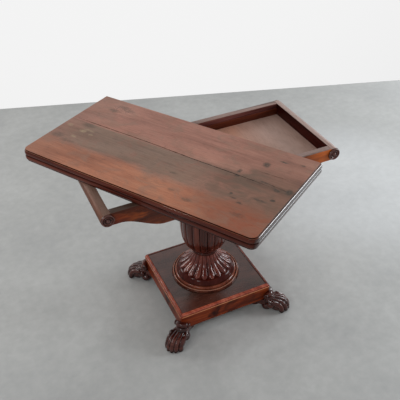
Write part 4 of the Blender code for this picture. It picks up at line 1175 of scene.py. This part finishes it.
def hollows(mesh, reach):
    """Share of each vertex that lies in a groove, from how its neighbours rise around it."""
    count = len(mesh.vertices)
    place, normal = np.zeros(count * 3), np.zeros(count * 3)
    mesh.vertices.foreach_get("co", place)
    mesh.vertex_normals.foreach_get("vector", normal)
    place, normal = place.reshape(-1, 3), normal.reshape(-1, 3)
    edges = np.zeros(len(mesh.edges) * 2, int)
    mesh.edges.foreach_get("vertices", edges)
    a, b = edges.reshape(-1, 2).T
    ends = np.concatenate([a, b])
    others = np.concatenate([b, a])
    number = np.maximum(np.bincount(ends, minlength=count), 1)

    def around(values):
        return np.bincount(ends, values[others], count) / number

    smooth = place
    for _ in range(3):
        smooth = np.stack([around(smooth[:, i]) for i in range(3)], -1)
    rise = ((smooth - place) * normal).sum(1)
    low = np.clip(rise / reach, 0.0, 1.0)
    for _ in range(2):
        low = 0.5 * low + 0.5 * around(low)
    return low


def paw_shape(lean):
    shape = bmesh.new()

    def at(out, across, up):
        """Point of the leaning foot."""
        return (out, across - lean * max(out - PAW_HEEL, 0.0), up)

    for k in range(-2, 3):
        side = 1 if k > 0 else -1
        tip_out, tip_across, thick = TOE_TIPS[abs(k)]
        root_out, root_across = 0.006 - 0.002 * abs(k), 0.0088 * abs(k)
        points = []
        for share, up, radius in TOE_LINE:
            bow = math.sin(math.pi * min(share * 1.15, 1.0)) * 0.0022 * abs(k)
            across = root_across + (tip_across - root_across) * share + bow
            out = root_out + (tip_out - root_out) * share
            points.append((*at(out, side * across, up - 0.0016 * abs(k)), radius * thick))
        string_of_balls(shape, points, 6)
        claw = at(tip_out + 0.0050, side * tip_across * 1.04, 0.0058)
        ball(shape, claw, (0.0054, 0.0054, 0.0062))
    # Knuckles and pads at the sides, sole, heel and wrist
    for side in (-1, 1):
        ball(shape, at(0.0250, side * 0.0285 - 0.0015, 0.0445), (0.0125, 0.0090, 0.0135))
        ball(shape, at(0.0140, side * 0.0270, 0.0340), (0.0170, 0.0110, 0.0150))
    ball(shape, at(0.0380, 0.0, 0.0215), (0.0365, 0.0320, 0.0290))
    ball(shape, (-0.0040, -0.0035, 0.0145), (0.0245, 0.0340, 0.0215))
    ball(shape, (0.0030, 0.0, 0.0480), (0.0220, 0.0265, 0.0270))
    # The roll bends back round the plinth's corner and ends in a volute on each side
    roll = [Vector(point) for point in SCROLL]
    roll += [Vector((out, -across, up, radius)) for out, across, up, radius in SCROLL[-2::-1]]
    string_of_balls(shape, [tuple(point) for point in roll], 8)
    for side in (-1, 1):
        end = Vector((VOLUTE[0], side * VOLUTE[1], VOLUTE[2]))
        for k in range(VOLUTE_BEADS):
            turn = 2 * math.pi * k / VOLUTE_BEADS
            ring = Vector((math.cos(turn), 0.0, math.sin(turn))) * VOLUTE_RADIUS
            ball(shape, end + ring, (0.0030, 0.0034, 0.0030), 2)
        ball(shape, end, (0.0036, 0.0036, 0.0036), 2)
    # Shank under the plinth and the bridge that joins it to the foot
    drum(shape, SHANK_RADIUS, 0.034, (SHANK_BACK, 0.0, 0.0335), 40)
    bridge = Matrix.LocRotScale(Vector((SHANK_BACK / 2, 0.0, 0.0370)), None,
                                Vector((-SHANK_BACK, 0.046, 0.027)))
    bmesh.ops.create_cube(shape, size=1.0, matrix=bridge)
    return shape


def make_paw(name, lean):
    paw = make("paw_" + name + "_carving", paw_shape(lean))
    remesh = paw.modifiers.new("Join", "REMESH")
    remesh.mode = "VOXEL"
    remesh.voxel_size = 0.0010
    relax = paw.modifiers.new("Relax", "SMOOTH")
    relax.factor = 0.5
    relax.iterations = 2
    settle(paw, 60.0)
    reach = 1.42 * GAP
    corner = [(reach, 0.0), (reach - 0.3, 0.3), (reach - 0.3, -0.3)]
    plinth = prism(corner, (PLINTH_UNDER - GAP, 0.3))
    hole = bmesh.new()
    drum(hole, DOWEL_HOLE, 0.10, (SHANK_BACK, 0.0, DOWEL_BOTTOM + 0.05), 32)
    carve(paw, [plinth, hole], angle=60.0)
    for vert in paw.data.vertices:
        vert.co.z = max(vert.co.z, 0.0)
    # Painted shade and dirt in the grooves, and painted contact shadow with dirt near the floor
    floor_shade_and_dirt = [0.75 * smoothstep(0.024, 0.003, vert.co.z) for vert in paw.data.vertices]
    mark(paw, "hollow_shade_and_dirt", np.maximum(hollows(paw.data, GROOVE_REACH), floor_shade_and_dirt))
    return paw


for name, (x_side, y_side, lean) in PAWS.items():
    foot = make_paw(name, lean)
    if x_side * y_side < 0:
        foot.data.transform(Matrix.Diagonal((1.0, -1.0, 1.0, 1.0)))
        foot.data.flip_normals()
    corner = AXIS + Vector((x_side * PLINTH_FACE, y_side * PLINTH_FACE, 0.0))
    turn = Matrix.Rotation(math.atan2(y_side, x_side), 4, "Z")
    foot.data.transform(Matrix.Translation(corner) @ turn)
    stand_for(foot, "base", "paw_mahogany", "paw", "paw_" + name)


# Pieces that keep their solids, by material

KEPT = {
    "plinth_x": ["plinth_rail_front", "plinth_rail_back"],
    "plinth_y": ["plinth_rail_left", "plinth_rail_right"],
    "plinth_top": ["plinth_top_board"],
    "board": ["pivot_board", "well_divider"],
    "well": ["well_floor"],
    "deal": ["well_cleat_front", "well_cleat_back", "bearer_board", "plinth_core"]
            + ["corner_block_" + corner for corner in PAWS],
    "deal_up": ["stop_peg", "column_dowel"] + ["foot_dowel_" + corner for corner in PAWS],
    "brass": ["hinge_" + side + "_" + part for side in ("left", "right")
              for part in ("lower", "upper", "pin")],
    "iron": ["pivot_bolt", "pivot_washer", "pivot_nut"],
}
ARRIS = 0.0006
METAL_ARRIS = {"brass": 0.00025, "iron": 0.0005}
for material, names in KEPT.items():
    for name in names:
        node = NODES[name]
        node.data.materials.clear()
        node.data.materials.append(MATERIALS[material])
        soften(node, METAL_ARRIS.get(material, ARRIS), 2)


# Hinge screws: slotted brass heads on dark seats, a hair proud of the plates

SCREW_RADIUS = 0.0026
SCREW_SLOT = 0.0004
SCREW_PLACES = ((-0.0200, -0.0110), (0.0, -0.0155), (0.0200, -0.0110))
SCREW_DEEP = 0.0008
SEAT_RADIUS = 1.12 * SCREW_RADIUS
SEAT_PROUD = 0.00003
HEAD_PROUD = 0.00008


def screw_heads(body, side):
    heads = bmesh.new()
    edge = math.degrees(math.asin(SCREW_SLOT / SCREW_RADIUS))

    def add_slice(middle, start, end, radius, proud, slot):
        """Part of a flat round head between two angles, with a softened rim."""
        rings = []
        for inset, level in ((0.0, -SCREW_DEEP), (0.0, proud - 0.00003), (0.0002, proud)):
            points = arc(0.0, 0.0, radius - inset, start, end, 24)
            rings.append([(middle.x + x, middle.y + y, side * (GAP / 2 - level))
                          for x, y in points])
        part = from_rings(rings)
        for face in part.faces:
            face.material_index = slot
        mesh = bpy.data.meshes.new("screw_part")
        part.to_mesh(mesh)
        part.free()
        heads.from_mesh(mesh)
        bpy.data.meshes.remove(mesh)

    for hinge in (-HINGE_X, HINGE_X):
        for k, (along, across) in enumerate(SCREW_PLACES):
            middle = Vector((hinge + along, across))
            turn = 67.0 * k + 90.0 * hinge + 31.0 * side
            add_slice(middle, turn, turn + 345.0, SEAT_RADIUS, SEAT_PROUD, 1)
            for half in (turn, turn + 180.0):
                add_slice(middle, half + edge, half + 180.0 - edge, SCREW_RADIUS, HEAD_PROUD, 0)
    screws = make(body + "_hinge_screws", heads, LEAF_PLACE)
    stand_for(screws, body, "brass", "brass")
    screws.data.materials.append(MATERIALS["iron"])


screw_heads("lower_top", -1)
screw_heads("upper_top", 1)


# Stage: floor, light and camera

def floor_paint():
    p = Paint(bpy.data.materials.new("pale_floor"))
    cloud = p.noise(p.place, (2.2, 2.2, 1), 5.0, 0.6, 0.3)
    speck = p.noise(p.place, (26, 26, 1), 4.0, 0.6)
    tone = p.scale_add(speck, 0.35, p.times(cloud, 0.65))
    places = (0.34, 0.5, 0.66)
    colour = p.tones(tone, places, ((166, 167, 166), (177, 178, 176), (189, 190, 188)))
    lit_floor = p.tones(tone, places, ((196, 198, 198), (206, 208, 208), (216, 218, 218)))
    # Painted pool of light on the floor to the right of the table
    away = p.add("VectorMath", {0: p.place, 1: (1.02, 0.42, 0.0)}, out=1, operation="DISTANCE")
    apart = p.scale_add(cloud, 0.5, p.math("SUBTRACT", away, 0.25))
    colour = p.over(colour, lit_floor, p.span(apart, 0.20, 0.75, 0.95, 0.0))
    return p.finish(colour, p.span(cloud, 0.3, 0.7, 0.55, 0.75), speck, 0.0004)


# The floor's far edge, where the photo's floor meets the wall
BACK_LEFT = Vector((-0.422, 2.04, 0.0))
BACK_RIGHT = Vector((2.054, 1.21, 0.0))
FLOOR_DROP = Vector((0.0, 0.0, 0.0002))
run = (BACK_RIGHT - BACK_LEFT).normalized()
forward = Vector((run.y, -run.x, 0.0))
corners = [BACK_LEFT - 6 * run, BACK_LEFT - 6 * run + 9 * forward,
           BACK_RIGHT + 6 * run + 9 * forward, BACK_RIGHT + 6 * run]
floor_shape = bmesh.new()
floor_shape.faces.new([floor_shape.verts.new(corner - FLOOR_DROP) for corner in corners])
floor = make("studio_floor", floor_shape)
floor.data.materials.append(floor_paint())


def soft_light(name, place, aim, size, power, colour):
    data = bpy.data.lights.new(name, "AREA")
    data.shape = "RECTANGLE"
    data.size, data.size_y = size
    data.energy = power
    data.color = colour
    lamp = bpy.data.objects.new(name, data)
    SCENE.collection.objects.link(lamp)
    lamp.location = place
    way = Vector((0.0, 0.0, aim)) - Vector(place)
    lamp.rotation_euler = way.to_track_quat("-Z", "Y").to_euler()


COOL = (0.92, 0.96, 1.0)
WARM = (1.0, 0.98, 0.96)
# Place, height of the aim, size, power and colour
soft_light("window_light", (3.47, -1.00, 1.50), 0.40, (1.15, 1.4), 62.0, COOL)
soft_light("tall_light", (3.0, 1.55, 1.20), 0.30, (0.5, 1.7), 18.0, COOL)
soft_light("side_light", (-2.1, 2.3, 1.45), 0.30, (0.8, 0.9), 17.0, WARM)
soft_light("front_light", (-2.3, -1.6, 2.30), 0.30, (0.5, 0.6), 13.0, (0.98, 0.98, 1.0))
soft_light("rim_light", (-2.2, -0.10, 2.55), 0.40, (0.25, 0.45), 9.0, WARM)

# White room, brightest behind the table
SCENE.world = bpy.data.worlds.new("studio")
room = Paint(SCENE.world, "Background")
facing = room.add("VectorMath", {0: room.way, 1: (0.30, 0.95, 0.0)}, out=1,
                  operation="DOT_PRODUCT")
room.feed(room.shader.inputs["Color"], (1.0, 1.0, 1.0, 1.0))
room.feed(room.shader.inputs["Strength"], room.span(facing, 0.15, 0.95, 0.42, 0.90))

AZIMUTH = math.radians(-24.02)
ROLL = math.radians(-1.57)
back = Vector((-0.32374, -0.72632, 0.60634)).normalized()
right = Vector((math.cos(AZIMUTH), math.sin(AZIMUTH), 0.0))
up = back.cross(right)
turned_right = math.cos(ROLL) * right + math.sin(ROLL) * up
turned_up = -math.sin(ROLL) * right + math.cos(ROLL) * up
view = Matrix((turned_right, turned_up, back)).transposed().to_4x4()
view.translation = (-0.67156, -1.58528, 1.8358)
lens = bpy.data.cameras.new("camera")
lens.sensor_width = 36.0
lens.lens = 54.495
camera = bpy.data.objects.new("camera", lens)
SCENE.collection.objects.link(camera)
camera.matrix_world = view
SCENE.camera = camera
SCENE.view_settings.view_transform = "Standard"
